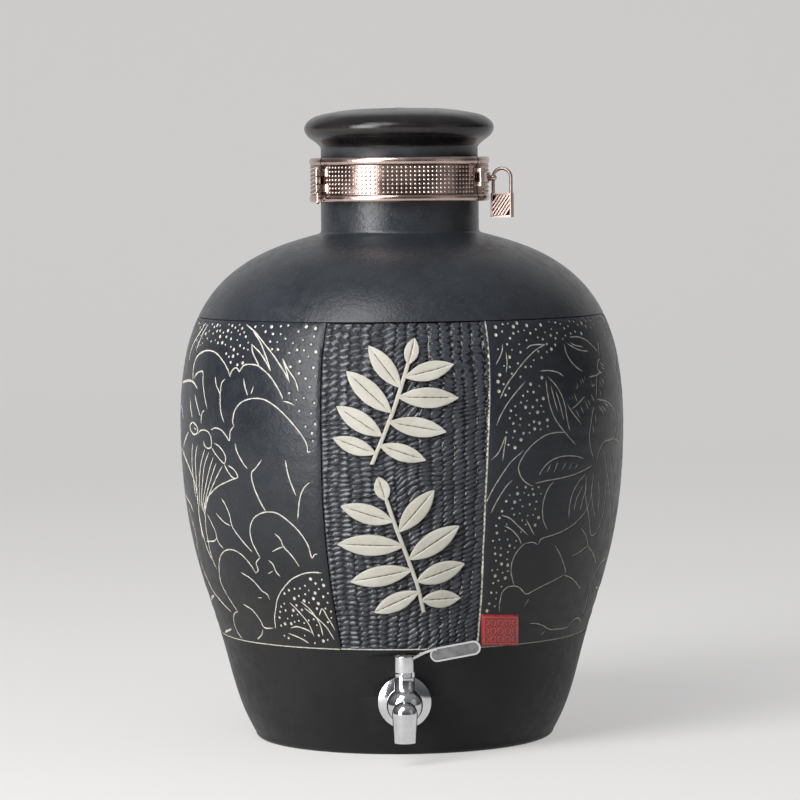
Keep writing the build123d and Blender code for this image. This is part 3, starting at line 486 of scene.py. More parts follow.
OUTER_WALL = wall_table(True)
INNER_WALL = wall_table(False)
WALL_HEIGHTS = np.arange(20.0, 301.0, 0.5)
STEPPED = np.interp(WALL_HEIGHTS, *OUTER_WALL)
STEPPED = np.pad(STEPPED, 3, mode="reflect", reflect_type="odd")
WALL_RADII = np.convolve(STEPPED, np.ones(7) / 7.0, "valid")
WALL_LEAN = np.gradient(WALL_RADII, WALL_HEIGHTS)


def on_wall(across, up, out):
    """Points in metres for drawing places on the belly; out is mm along the wall's normal."""
    angle = np.radians(across / ARC)
    radius = np.interp(up, WALL_HEIGHTS, WALL_RADII)
    lean = np.interp(up, WALL_HEIGHTS, WALL_LEAN)
    length = np.sqrt(1.0 + lean * lean)
    radius = radius + out / length
    height = up - out * lean / length
    return np.column_stack([radius * np.sin(angle), -radius * np.cos(angle), height]) * MM


def store(mesh, name, values):
    """Keeps a number for each point of the mesh, for its finish to read."""
    mark = mesh.attributes.new(name, "FLOAT", "POINT")
    mark.data.foreach_set("value", np.asarray(values, np.float32))


def wrap(mesh, rises=None):
    """Bends a flat drawing mesh round the belly; rises are mm over the wall, in place of z."""
    spots = flat_points(mesh)
    if rises is not None:
        spots[:, 2] = np.asarray(rises, np.float32)
    mesh.vertices.foreach_set("co", on_wall(*spots.T).ravel())
    mesh.update()


def behind(front, name):
    """The same panel again on the far side of the jar."""
    mesh = front.data.copy()
    mesh.name = name
    mesh.transform(Matrix.Rotation(math.pi, 4, "Z"))
    made = placed(name, mesh)
    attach(made, "root")
    return made


# ---- carved panels ----

# Borders of the woven panel as (height, degrees); the carved panels run on to the jar's sides.
WEAVE_LEFT = [
    (63.6, -19.3), (93.5, -20.1), (123.0, -20.5), (152.0, -20.7),
    (181.0, -20.6), (209.0, -20.7), (232.0, -20.9), (253.4, -20.7),
]
WEAVE_RIGHT = [
    (63.6, 22.9), (92.5, 22.3), (122.0, 21.5), (151.0, 21.4),
    (180.0, 21.9), (208.4, 22.6), (231.0, 23.2), (253.4, 23.7),
]


def upright(degrees):
    return [(PANEL_LOW, degrees), (PANEL_HIGH, degrees)]


LEFT_END = upright(-86.0)
RIGHT_END = upright(84.0)
EDGE_LINE = 0.36
FRAME_LINE = 0.2
STROKE_END = 0.45  # of the stroke's width
STROKE_TAPER = 5.0
STEEP_SIDE = (58.0, 78.0)  # degrees from the front, where strokes widen
DOT_CLEAR = 0.7
CUT_DEPTH = 0.4
GROOVE_DEPTH = 0.55
SECOND_GROOVE = 1.9
DOT_SIZES = (0.5, 0.58, 0.66, 0.78, 1.0)

# Carved strokes, one a row, in tenths of a degree and of a millimetre: degrees and height
# where the stroke starts, then the steps across and up from point to point.
TENTHS = 10.0
CLOUDS_AND_FANS = [
    (-857, 2365, 31, -34, 16, -54, -13, -54),
    (-857, 1196, 33, -44, 9, -77, -25, -93, -17, -18),
    (-857, 2013, 48, -27, 31, -64),
    (-473, 2515, 44, -43, 37, -55, 41, -72, 36, -84, 23, -73),
    (-437, 2477, 35, -61, 29, -84, 20, -79),
    (-431, 2403, 9, -45, 17, -45, 15, -39),
    (-431, 2403, 36, -49, 26, -56, 16, -45),
    (-320, 2327, 21, -66, 21, -56, 12, -66),
    (-320, 2327, 14, -66, 11, -62),
    (-311, 2085, 17, -8, 19, -16),
    (-701, 2510, -21, -56, -32, -61, -16, -68, 6, -51),
    (-677, 2503, -19, -66, -10, -65, -3, -34),
    (-698, 2173, -9, 70, 11, 60, 31, 35, 43, 16, 47, -12, 42, -46, 25, -47, 12, -39),
    (-496, 2210, 3, 29, 10, 22, 12, 1, 9, -17, 7, 18, 9, 18, 18, 7, 28, -5, 23, -25, 24, -37,
     23, -56, 14, -47, 5, -26),
    (-688, 2186, 12, 25, 20, 15, 23, 1, 6, -46, 10, -58, 13, -57, 13, -55),
    (-857, 2132, 38, 15, 81, 19, 41, -3, 23, -17, 16, -20),
    (-563, 2208, 9, -44, 12, -33, 10, -29, 2, -52, 6, -54, 13, -51),
    (-516, 2197, -12, -22, -3, -35, -1, -38),
    (-443, 2206, 8, -48, 11, -51),
    (-405, 2161, -8, -44),
    (-471, 1929, -5, 22, 3, 47, 9, 35, 18, 34, 26, 21, 28, 7, 27, -8, 27, -27, 25, -39, 25, -50,
     21, -50, 16, -47, 9, -44, 2, -34, 9, 6),
    (-471, 1929, -14, -31, -3, -29, -3, -27, -15, 31, -18, 27, -26, 9, -22, -15),
    (-707, 2060, 6, -52, 16, -57),
    (-671, 2088, 18, -57, 23, -66),
    (-607, 2007, -15, -25, -3, -59),
    (-681, 1929, -21, -22, 3, -29, 23, -22, 27, 14, -2, 34, -30, 25),
    (-670, 1897, 14, -13),
    (-646, 1862, 16, 21, 24, 7, 23, -12, 12, -36, -1, -45, -17, -12, -19, 17, -3, 29),
    (-572, 1797, 23, -46, 32, -44, 9, 26, -5, 32, -20, 37, -25, 18),
    (-517, 1707, 19, -52, 19, -31, 16, 11, -12, 38, -27, 26),
    (-473, 1620, -16, -7, -21, -15, -36, -28, -36, -41, -31, -43, -19, -53, -7, -61, -8, -78,
     -2, -61, 0, -70, 7, -58, 9, -48),
    (-644, 1383, 35, 101, 25, 63, 61, 143),
    (-649, 1394, 37, 119, 62, 191),
    (-654, 1405, 33, 130, 34, 123, 24, 80),
    (-659, 1416, 24, 146, 22, 116, 28, 86),
    (-668, 1427, 17, 163, 21, 109, 24, 80),
    (-681, 1442, 8, 144, 4, 131, 18, 79),
    (-691, 1482, -6, 136, 1, 107, 12, 78),
    (-857, 1774, 30, -23, 79, -70, 43, -71, 21, -55, 7, -88, -7, -121, -1, -119),
    (-857, 1482, 87, -44, 38, -53),
    (-801, 1426, 43, -171, -29, -157, 36, -113, 33, -78, 51, -55, 51, -45),
    (-721, 1863, -62, -92, 0, -66),
    (-441, 1069, -10, 38, -21, 47, -24, 31, -30, 12, -35, -14, -31, -41, -22, -64, -12, -62,
     0, -48, 15, -57, 20, -57, 17, -36),
    (-574, 818, -24, -16, -19, -34, -4, -40, 3, -40, 25, -44),
    (-441, 1069, 12, 22, -3, 38, 9, 22, 10, 13),
    (-413, 1164, -11, 46, -10, 48, -2, 58, 8, 51, 17, 40, 25, 25, 22, 8, 26, -5, 29, -36, 27, -52,
     17, -47, 12, -53, 6, -63, 9, 17, 9, 5),
    (-539, 1499, 16, -38, 13, -57, 6, -68, 26, -64, 40, -79),
    (-573, 1405, 32, -45, 30, -20),
    (-377, 1741, -19, -46, -16, -35, 2, -58, 12, -66, 14, -57, 12, -40),
    (-468, 1829, 7, -49, 17, -56, 19, -41),
    (-304, 1746, 4, -57, 8, -67, 15, -82),
    (-238, 1621, -17, -35, -12, -58, -6, -68, -4, -54),
    (-352, 1317, 16, -33, 8, -44, 22, -51, 19, -62),
    (-367, 1207, 22, 22, 17, 11),
    (-385, 1154, 13, -22, 7, -43, 12, -30),
    (-394, 1073, 19, 19),
    (-503, 1065, 35, -29, 22, -37, 15, -33, 17, -18, 7, -35),
    (-455, 920, 18, 3),
    (-534, 870, 39, -29, 21, -46, 14, -53, 39, 1),
    (-737, 661, 80, 35),
    (-622, 1390, 19, -56, 13, -47, 0, -31, 8, -32, 20, -29),
    (-590, 1255, -20, -21, -50, -10),
    (-682, 1412, 1, -71, 3, -89, 12, -81, 19, -63),
    (-732, 883, -58, -29, -67, -68),
    (-469, 725, -13, -32, -28, -33),
    (-413, 744, 5, 51, 12, 61, 19, 73, 27, 63, 34, 58, 39, 36, 30, 10, 26, -2),
    (-338, 908, 20, -42, 27, -68, 16, -88),
    (-299, 917, 25, -47, 21, -68, 8, -87),
    (-294, 883, 38, -61, 27, -58, 18, -69),
    (-248, 840, 12, 39, 13, -48, 13, -54, 4, -27),
    (-354, 752, 25, 12, 33, -16, 15, -18),
    (-365, 720, 40, -25, 28, -28),
]
LEAVES_AND_BUDS = [
    (837, 2315, -39, -53, -12, -78, 18, -76, 33, -47),
    (837, 1402, -41, -27, -17, -71, 17, -70),
    (726, 2248, 36, -45, 24, -19),
    (737, 912, 47, -16, 53, 28),
    (251, 2087, 21, 78, 27, 65, 28, 59, 31, 50, 24, 27, 27, 21),
    (240, 1935, 10, 51, 19, 66, 26, 64, 34, 69),
    (342, 2365, 21, 21, 46, 1),
    (273, 2402, -6, -49, -21, -72),
    (279, 2359, 0, -62, -5, -61),
    (511, 2420, 39, -2, 38, -23, 28, -38, 22, -33),
    (491, 2390, 18, -22, 33, -26, 45, -12),
    (506, 2391, 19, -19, 40, -15),
    (480, 2386, 2, -58, 14, -50, 24, -40, 21, -20),
    (379, 2237, 31, -1, 29, -14, 20, -26),
    (402, 2201, 21, -45, 18, -54, 13, -69, 7, -88, 10, -69),
    (393, 2183, 2, -67, 6, -77, 13, -69, 19, -55, 30, -62, 33, -62),
    (409, 2153, 7, -75, 12, -82),
    (424, 2117, 12, -76, 12, -94),
    (463, 2038, 9, -27, 15, -37, 15, -31, 17, -34),
    (480, 2007, 16, 15, 18, 21, 16, 21, 9, 8),
    (492, 2098, 6, -30, 7, -24),
    (471, 2077, 3, -17),
    (484, 2081, 3, -23),
    (522, 2176, 6, -30),
    (533, 2180, 4, -35),
    (545, 2185, 0, -24),
    (507, 2154, 3, -23, -9, -11),
    (497, 1999, 16, -54),
    (515, 2026, 14, -54),
    (538, 2046, 14, -54),
    (552, 2050, 10, -39),
    (566, 2083, 9, -24, 8, -28),
    (577, 2158, 2, -30, 17, 10),
    (606, 2183, -4, -46, -8, -81),
    (657, 2389, -8, -47, -7, -46),
    (644, 2279, -15, -11, -8, -28, 2, -24, 19, -19),
    (642, 2255, 24, -20),
    (645, 2232, 18, -14),
    (642, 2197, -18, 2, -14, -10, -30, -5, -16, -2),
    (630, 2175, 20, -50),
    (619, 2158, 16, -48),
    (616, 2106, 8, -48),
    (595, 2050, 22, -8, 31, -10, 35, -26, 23, -30, 17, -32, 9, -37, -6, -46, -9, -34, -14, -22,
     -32, -6, -31, -4, -22, -23, -13, -34, -13, -45),
    (635, 2028, 32, -34),
    (619, 2012, 32, -46),
    (604, 2014, 34, -63),
    (580, 2011, -12, -51, -8, -57, -6, -52, 2, -58, 9, -48, 13, -38),
    (584, 1970, 3, -71),
    (569, 1908, 7, -60),
    (707, 1799, 26, -10, 38, -24, 25, -29, 20, -52, 21, -82),
    (451, 1874, -30, 4, -33, -10, -27, -26, -26, -40, -20, -51, -13, -56, 5, -49, 12, -35, 18, -26,
     13, -9),
    (365, 1639, 13, 37, 21, 36, 29, 20, 36, 5, 40, -11, 29, -19),
    (355, 1592, 35, 10, 46, 8, 50, 12, 41, 18, 43, 23),
    (368, 1639, 5, 31),
    (390, 1650, 14, 48),
    (414, 1647, 14, 62),
    (442, 1658, 16, 41),
    (468, 1657, 13, 36),
    (492, 1654, 11, 30),
    (416, 1594, -17, -32, -12, -52, -5, -57, 4, -68, 12, -51, 10, -27),
    (543, 1623, -35, -53, -21, -65, -7, -67, 2, -74),
    (580, 1617, -4, -78, -4, -67, -12, -57, -24, -45, -33, -43, -39, -29, -36, -18, -29, -10,
     -14, -12, -6, -29),
    (530, 1551, -23, -72, -6, -70),
    (550, 1548, -16, -80, -8, -69),
    (337, 1245, 24, 2, 17, -18),
    (337, 1245, -8, -9, -11, -23, -11, -32, -7, -48, 1, -50, 8, -50, 10, -41),
    (283, 846, -4, 42, 0, 50, 5, 33, 14, 21, 22, 2, 18, -14, 25, -39, 24, 15, 34, 25, 36, 22,
     43, 28),
    (500, 1031, 4, 19, -13, 42, -22, 59, -30, 69),
    (500, 1031, 40, -27, 34, -36, 37, -48),
    (377, 909, -13, -48),
    (543, 1300, 33, -56, 20, -59, 39, -51, 45, -69),
    (596, 1185, -18, -10, -27, -20, -33, -18),
    (856, 1077, -118, -15, -38, -51, -19, -66, -1, -70, 14, -83, -14, -37),
    (695, 706, -36, 34, -37, -3, -32, -38, -54, 1, -43, 7, -36, 29, -31, 18, -27, 4),
    (475, 701, -18, -27),
    (226, 1741, 20, 45, 19, 85, -5, -76, -4, -67),
    (215, 1502, 17, 75, 22, 75, 23, 65, 19, 36, 22, 36),
    (227, 1433, 15, 66, 22, 75, 21, 46),
    (255, 1421, 27, -23, 26, -47, 34, -62),
    (267, 1356, 23, -27, 24, -51, 10, -41),
    (330, 1392, 15, -51, 18, -55),
    (332, 1385, 20, -64, 11, -35),
    (545, 1607, 1, -111, 25, -123, 30, -123, 36, 22, 20, 85, 5, 118, -3, 101),
    (572, 1556, 9, -96, 26, -111),
    (609, 1573, 11, -102, 5, -102),
    (631, 1758, 25, -134, 36, -137, 37, -144, 4, -120, 12, -86),
    (672, 1739, 27, -123, 30, -124),
]

# Fields of punched dots: outline, least distance between two dots in mm.
LEFT_DOTS = [
    ([(-82, 250), (-48, 251.5), (-43.6, 239.7), (-44.4, 230), (-48.9, 226), (-54.6, 237),
      (-63, 240), (-73, 236)], 3.4),
    ([(-46, 251.5), (-22.4, 251.5), (-21.8, 182), (-23.9, 189), (-27.2, 203), (-30.4, 214),
      (-28, 222), (-39, 243)], 4.3),
    ([(-36.5, 95), (-33, 101), (-26, 106), (-21.2, 106), (-21, 93), (-21, 67), (-38.5, 67),
      (-39.5, 76)], 3.3),
]
RIGHT_DOTS = [
    ([(25, 251.5), (49, 251.5), (83, 250), (83, 234), (69, 247), (47, 240.5), (38.6, 231),
      (31, 220), (26, 206), (24.5, 212)], 3.6),
    ([(27.5, 203), (33.6, 216), (39, 224), (38, 214), (39, 202), (40, 191), (33.5, 187),
      (29, 178), (26, 185)], 3.6),
    ([(23.6, 139), (29, 160), (37.5, 157), (37, 134), (31, 124), (28.6, 103), (27, 86),
      (24, 85)], 3.3),
]


def smooth_share(value, low, high):
    share = np.clip((value - low) / (high - low), 0.0, 1.0)
    return share * share * (3.0 - 2.0 * share)


def edge_at(border, heights):
    """Drawing x of a border line at some heights."""
    return np.interp(heights, [row[0] for row in border], [row[1] for row in border]) * ARC


def drawn(points, half_width, step=0.22):
    """Rows of (x, y, half width) along a smooth stroke that thins at both ends."""
    ends = np.vstack([2 * points[0] - points[1], points, 2 * points[-1] - points[-2]])
    rows = []
    for a, b, c, d in zip(ends, ends[1:], ends[2:], ends[3:]):
        count = max(2, int(np.linalg.norm(c - b) / step))
        share = (np.arange(count) / count)[:, None]
        bend = 2 * b + (c - a) * share + (2 * a - 5 * b + 4 * c - d) * share**2
        rows.append(0.5 * (bend + (3 * b - 3 * c + d - a) * share**3))
    rows = np.vstack(rows)
    steps = np.linalg.norm(np.diff(rows, axis=0, prepend=rows[:1]), axis=1)
    along = np.cumsum(steps)
    thin = np.minimum(1.0, STROKE_END + np.minimum(along, along[-1] - along) / STROKE_TAPER)
    wander = 1.0 + 0.12 * np.sin(along * 0.9 + dice.random() * 6.0)
    wide = 1.0 + 1.2 * smooth_share(np.abs(rows[:, 0]) / ARC, *STEEP_SIDE)
    return np.column_stack([rows, half_width * thin * wander * wide])


def inside(outline, x, y):
    """Whether a place lies within a closed outline."""
    hit = False
    for (x0, y0), (x1, y1) in zip(outline, outline[1:] + outline[:1]):
        if (y0 > y) != (y1 > y) and x < x0 + (x1 - x0) * (y - y0) / (y1 - y0):
            hit = not hit
    return hit


def punched(fields):
    """Rows of (x, y, radius) for dots scattered in the fields, never too close together."""
    rows = []
    for outline, spacing in fields:
        shape = [(degrees * ARC, height) for degrees, height in outline]
        low_x, high_x = min(p[0] for p in shape), max(p[0] for p in shape)
        low_y, high_y = min(p[1] for p in shape), max(p[1] for p in shape)
        for _ in range(int(6 * (high_x - low_x) * (high_y - low_y) / spacing**2)):
            x, y = dice.uniform(low_x, high_x), dice.uniform(low_y, high_y)
            near = any(math.hypot(x - row[0], y - row[1]) < spacing for row in rows)
            if inside(shape, x, y) and not near:
                rows.append((x, y, dice.choice(DOT_SIZES)))
    return np.array(rows)


def sheet(left, right, cell):
    """A flat grid between two border lines: x is mm round the belly and y is height."""
    width = abs(edge_at(right, 150.0) - edge_at(left, 150.0))
    tall = PANEL_HIGH - PANEL_LOW
    shape = bmesh.new()
    bmesh.ops.create_grid(
        shape, x_segments=round(width / cell), y_segments=round(tall / cell), size=0.5
    )
    for vert in shape.verts:
        height = PANEL_LOW + tall * (vert.co.y + 0.5)
        start, end = edge_at(left, height), edge_at(right, height)
        vert.co = (start + (end - start) * (vert.co.x + 0.5), height, 0.0)
    return shape


def refine(shape, tree, reaches):
    """Divides the faces near the strokes again and again, down to the width of a cut."""
    for reach in reaches:
        near = []
        for face in shape.faces:
            middle = face.calc_center_median()
            if tree.find(middle)[2] < reach + 0.3 * math.sqrt(face.calc_area()):
                near.extend(face.edges)
        edges = list(set(near))
        bmesh.ops.subdivide_edges(shape, edges=edges, cuts=1, use_grid_fill=True)


def border_groove(spots, left, right):
    """The thin grooves round a panel and under its top: 1 at their deepest, 0 off them."""
    to_left = spots[:, 0] - edge_at(left, spots[:, 1])
    to_right = edge_at(right, spots[:, 1]) - spots[:, 0]
    to_top = PANEL_HIGH - spots[:, 1]
    nearest = np.minimum(np.minimum(to_left, to_right), to_top)
    second = 0.5 * (1.0 - smooth_share(np.abs(to_top - SECOND_GROOVE), 0.15, 0.6))
    return np.maximum(1.0 - smooth_share(nearest, 0.0, 0.75), second)


def carving(left, right, lines, half_width, fields):
    """Rows of (x, y, half width) for all that is cut into a panel."""
    strokes = []
    for line in lines:
        points = np.cumsum(np.reshape(line, (-1, 2)), axis=0) / TENTHS * (ARC, 1.0)
        strokes.append(drawn(points, half_width))
    low = PANEL_LOW + 0.3
    ends = [(edge_at(border, PANEL_LOW), low) for border in (left, right)]
    strokes.append(drawn(np.array(ends), EDGE_LINE))
    for border, inwards in ((LEFT_END, 0.35), (RIGHT_END, -0.35)):
        if border in (left, right):
            x = (border[0][1] + inwards) * ARC
            ends = [(x, PANEL_LOW + 0.5), (x, PANEL_HIGH - 0.5)]
            strokes.append(drawn(np.array(ends), FRAME_LINE))
    cuts = np.vstack(strokes)
    dots = []
    for dot in punched(fields):
        if np.hypot(*(cuts[:, :2] - dot[:2]).T).min() > dot[2] + DOT_CLEAR:
            dots.append(dot)
    return np.vstack([cuts, dots])


def carved_panel(name, left, right, lines, half_width, fields, finish):
    """A satin panel with its drawing cut through to the pale clay."""
    rows = carving(left, right, lines, half_width, fields)
    tree = KDTree(len(rows))
    for number, row in enumerate(rows):
        tree.insert((row[0], row[1], 0.0), number)
    tree.balance()
    shape = sheet(left, right, 2.4)
    refine(shape, tree, (2.6, 1.3, 0.62))
    made = piece(name, shape, finish)
    spots = flat_points(made.data)
    found = [tree.find(spot) for spot in spots]
    cut = rows[[item[1] for item in found], 2] - np.array([item[2] for item in found])
    store(made.data, "cut", cut)
    groove = GROOVE_DEPTH * border_groove(spots, left, right)
    wrap(made.data, -(CUT_DEPTH * smooth_share(cut, -0.25, 0.3) + groove))
    return made


def plain_strip(name, left, right, finish):
    """A plain strip of the belly between two carved panels."""
    ends = (upright(left), upright(right))
    made = piece(name, sheet(*ends, 1.2), finish)
    spots = flat_points(made.data)
    store(made.data, "cut", 0.85 - (spots[:, 1] - PANEL_LOW))
    wrap(made.data, -GROOVE_DEPTH * border_groove(spots, *ends))
    return made


# ---- woven panel ----

COLUMN = 6.3
STRAND = 3.0
SLACK_ABOVE = 200.0
HILLS = 97
STRANDS = (64, 256, 3)
KNOTS = ((8.0, 221.0, 14.0, 22.0, 0.55), (2.0, 163.0, 13.0, 12.0, 0.45))
WEAVE_FLOOR = -1.7
WEAVE_RISE = 1.65


def scatter(x, y, size, seed):
    """Smooth random hills between -1 and 1, one every few mm."""
    heights = np.random.default_rng(seed).random((HILLS, HILLS)) * 2.0 - 1.0
    u, v = x / size + 400.0, y / size + 400.0
    left, low = np.floor(u).astype(int), np.floor(v).astype(int)
    s, t = smooth_share(u - left, 0.0, 1.0), smooth_share(v - low, 0.0, 1.0)
    steps = ((0, 0), (1, 0), (0, 1), (1, 1))
    corner = [heights[(left + i) % HILLS, (low + j) % HILLS] for i, j in steps]
    bottom = corner[0] + (corner[1] - corner[0]) * s
    return bottom + (corner[2] + (corner[3] - corner[2]) * s - bottom) * t


def weave_slant(x, y, calm):
    """How far the strands lean, with a knot here and there where they turn up."""
    tilt = 0.1 + (0.34 - 0.28 * calm) * smooth_share(x, -35.0, 30.0)
    tilt = tilt + 0.06 * scatter(x, y, 30.0, 3)
    for knot_x, knot_y, wide, high, turn in KNOTS:
        tilt = tilt + turn * np.exp(-(((x - knot_x) / wide) ** 2) - ((y - knot_y) / high) ** 2)
    return tilt


def weave_height(x, y):
    """Height (0 in the valleys, 1 on the crests) and chips of a thatch of short clay strands.

    The strands lie in upright columns; towards the top right they are calmer and flatter.
    """
    calm = smooth_share(x, -16.0, 2.0) * smooth_share(y, 196.0, 226.0)
    shift = 1.1 * scatter(x, y, 13.0, 1) + (0.7 - 0.3 * calm) * scatter(x, y, 4.2, 2)
    across = x + shift + 60.0
    column = np.floor(across / COLUMN).astype(int)
    along = across / COLUMN - column - 0.5
    stretched = np.where(y > SLACK_ABOVE, SLACK_ABOVE + 0.76 * (y - SLACK_ABOVE), y)
    lift = stretched - weave_slant(x, y, calm) * (x + 8.0)
    lift = lift + 0.9 * scatter(x, y, 11.0, 4) + 0.45 * scatter(x, y, 3.6, 6)
    row = lift / STRAND + 0.5 * (column % 2) + 0.25 * np.sin(column * 2.4)
    strand = np.floor(row).astype(int)
    beside = row - strand - 0.5
    table = np.random.default_rng(5).random(STRANDS)
    fatter, slid, longer = np.moveaxis(table[column % STRANDS[0], strand % STRANDS[1]], -1, 0)
    slide = np.clip(along + 0.3 * (slid - 0.5), -0.5, 0.5)
    end = 1.0 - 0.8 * np.abs(2.0 * slide) ** (1.6 + 1.6 * longer)
    fat = 0.88 + 0.3 * fatter + 0.12 * calm
    off = beside - 0.4 * (fatter - 0.5) * slide
    body = np.clip(1.0 - np.abs(2.0 * off / (end * fat)) ** 2.4, 0.0, 1.0) ** 0.6
    lean = 0.74 - 0.5 * slide * np.where(column % 2, 1.0, -0.6) - 0.3 * off
    crest = np.clip(body * lean * (0.72 + 0.4 * longer), 0.0, 1.0)
    crest = crest * (1.0 - 0.35 * calm) + 0.4 * calm * smooth_share(crest, 0.02, 0.5)
    post = smooth_share(np.abs(along), 0.42, 0.5) * (0.3 + 0.3 * smooth_share(y, 190.0, 240.0))
    pairs = table[column % STRANDS[0], (strand // 2) % STRANDS[1], 1]
    chipped = (pairs > 0.8 - 0.3 * calm) & (x > 3.0)
    chip = np.where(chipped, 0.2 - np.abs(0.5 - np.abs(along)) * COLUMN, -1.0)
    return crest * (1.0 - post), chip


def woven_panel(name, finish, cell):
    """The middle panel, pressed all over with a wicker weave, with a pale line on two sides."""
    made = piece(name, sheet(WEAVE_LEFT, WEAVE_RIGHT, cell), finish)
    spots = flat_points(made.data)
    crest, chip = weave_height(spots[:, 0], spots[:, 1])
    groove = border_groove(spots, WEAVE_LEFT, WEAVE_RIGHT)
    to_right = edge_at(WEAVE_RIGHT, spots[:, 1]) - spots[:, 0]
    to_bottom = spots[:, 1] - PANEL_LOW
    cut = np.maximum(np.maximum(chip, 0.5 - np.abs(to_right - 0.45)), 0.6 - to_bottom)
    flat_right = smooth_share(1.1 - to_right, 0.0, 0.4)
    flat = np.maximum(flat_right, smooth_share(1.2 - to_bottom, 0.0, 0.4))
    crest = crest * (1.0 - groove) * (1.0 - flat)
    store(made.data, "crest", crest)
    store(made.data, "cut", np.where(crest > 0.75, -1.0, cut))
    wrap(made.data, WEAVE_FLOOR + WEAVE_RISE * crest + 1.0 * flat)
    return made


# ---- shoulder, inside and foot ----

NECK_STRAIGHT = 308.0
MOUTH_LOW = 296.0
INSIDE_TOP = 294.0


def wall_points(table, heights):
    """(radius, height) points on one side of the pot's wall."""
    return [(float(np.interp(z, *table)), float(z)) for z in heights]


def shoulder_and_inside(finish):
    """Shoulder, neck, rolled rim and the whole inside down to the foot, as one turned skin."""
    points = wall_points(OUTER_WALL, np.arange(PANEL_HIGH, NECK_ROOT - 0.2, 1.3))
    points += wall_points(OUTER_WALL, np.arange(NECK_ROOT, NECK_STRAIGHT, 0.4))
    straight = np.arange(NECK_STRAIGHT + 1.0, RIM_HEIGHT - RIM_ROLL, 3.0)
    points += [(NECK_RADIUS, float(z)) for z in straight]
    for middle, start in ((NECK_RADIUS - RIM_ROLL, 0.0), (MOUTH_RADIUS + RIM_ROLL, 90.0)):
        for step in range(7):
            angle = math.radians(start + 15.0 * step)
            height = RIM_HEIGHT - RIM_ROLL + RIM_ROLL * math.sin(angle)
            points.append((middle + RIM_ROLL * math.cos(angle), height))
    points += [(MOUTH_RADIUS, float(z)) for z in np.arange(RIM_HEIGHT - 3.0, MOUTH_LOW, -3.0)]
    top = min(float(INNER_WALL[0].max()), INSIDE_TOP)
    points += wall_points(INNER_WALL, np.arange(top, PANEL_LOW, -2.0))
    points += wall_points(INNER_WALL, [PANEL_LOW])
    shape = bmesh.new()
    verts = [shape.verts.new((0.0, -radius * MM, height * MM)) for radius, height in points]
    edges = [shape.edges.new(pair) for pair in zip(verts, verts[1:])]
    bmesh.ops.spin(
        shape,
        geom=verts + edges,
        cent=(0.0, 0.0, 0.0),
        axis=(0.0, 0.0, 1.0),
        angle=2.0 * math.pi,
        steps=240,
        use_merge=True,
    )
    bmesh.ops.remove_doubles(shape, verts=shape.verts, dist=1e-7)
    bmesh.ops.recalc_face_normals(shape, faces=shape.faces)
    return piece("shoulder_neck_and_inside", shape, finish, sharp=50.0)


def foot(finish):
    """The foot with the shaved field and the seat that the tap is fixed to."""
    shape = cad_copy("pot_body")
    bmesh.ops.bisect_plane(
        shape,
        geom=[*shape.verts, *shape.edges, *shape.faces],
        plane_co=(0.0, 0.0, PANEL_LOW * MM),
        plane_no=(0.0, 0.0, 1.0),
        clear_outer=True,
    )
    return piece("foot", shape, finish, sharp=14.0)


# ---- raised leaves and tablet ----

# Leaves are (root, tip, width) in mm, x to the right and y up, from a middle given as
# (degrees, height).
UPPER_SPRIG_AT = (-0.6, 206.0)
UPPER_STEM = [(-15, -33), (-9, -18), (-3, -2), (2, 14), (5, 24)]
UPPER_LEAVES = [
    ((-12.5, -27), (-36, -18), 9.5),
    ((-9, -17), (-34, 0), 11.0),
    ((-4, -4), (-29, 20), 11.5),
    ((1, 10), (-17, 34), 10.5),
    ((-11, -22), (14, -31), 9.5),
    ((-6, -9), (25, -15), 11.0),
    ((-1, 5), (32, 4), 11.5),
    ((3, 16), (30, 23), 10.5),
    ((5, 23), (9, 38), 8.0),
]
LOWER_SPRIG_AT = (-0.9, 125.0)
LOWER_STEM = [(14, -38), (10, -22), (4, -5), (-2, 12), (-7, 28)]
LOWER_LEAVES = [
    ((12.5, -31), (36, -30), 10.0),
    ((9.5, -20), (37, -10), 11.5),
    ((5, -7), (33, 12), 12.0),
    ((-0.5, 9), (19, 33), 11.0),
    ((11, -26), (-16, -38), 10.0),
    ((7, -13), (-29, -20), 11.5),
    ((2.5, 1), (-35, 2), 12.0),
    ((-3, 15), (-32, 24), 11.0),
    ((-7, 27), (-11, 41), 8.5),
]
LEAF_TOP = 1.66
LEAF_ROOT = -1.2
RIB_WIDTH = 0.4
VEIN_WIDTH = 0.34
VEIN_SPACING = 4.2
STEM_TOP = 1.5
STEM_WIDTH = 1.2
TABLET_AT = (55.5, 73.6)
TABLET_SIZE = (21.6, 18.8)
TABLET_ROUND = 25.5  # its width along the curve of the belly
TABLET_FALL = 1.7
TABLET_CORNER = 1.5
TABLET_ROOT = -0.4
LATTICE = 5.0


def leaf(shape, root, tip, width):
    """Adds one lance-shaped leaf with a cut midrib and side veins, in the drawing plane."""
    grid = bmesh.ops.create_grid(shape, x_segments=44, y_segments=20, size=0.5)["verts"]
    start, end = Vector(root), Vector(tip)
    run = end - start
    side = Vector((-run.y, run.x)).normalized()
    for vert in grid:
        share = vert.co.x + 0.5
        beside = vert.co.y * 2.0
        swell = (4.0 * share * (1.0 - share)) ** 0.94
        across = beside * 0.5 * width * swell
        place = start + run * share + side * across
        fade = min(1.0, 5.0 * (1.0 - share), 5.0 * share)
        rib = math.exp(-((across / RIB_WIDTH) ** 2)) * fade
        slant = (run.length * share - 1.1 * abs(across)) / VEIN_SPACING
        vein = math.exp(-((((slant % 1.0) - 0.5) * VEIN_SPACING / VEIN_WIDTH) ** 2))
        vein *= fade * max(0.0, 1.0 - abs(beside) / 0.86)
        edge = max(0.0, abs(beside) - 0.8) / 0.2
        height = LEAF_TOP - 0.5 * rib - 0.2 * vein - 0.22 * edge * edge
        vert.co = (place.x, place.y, height)


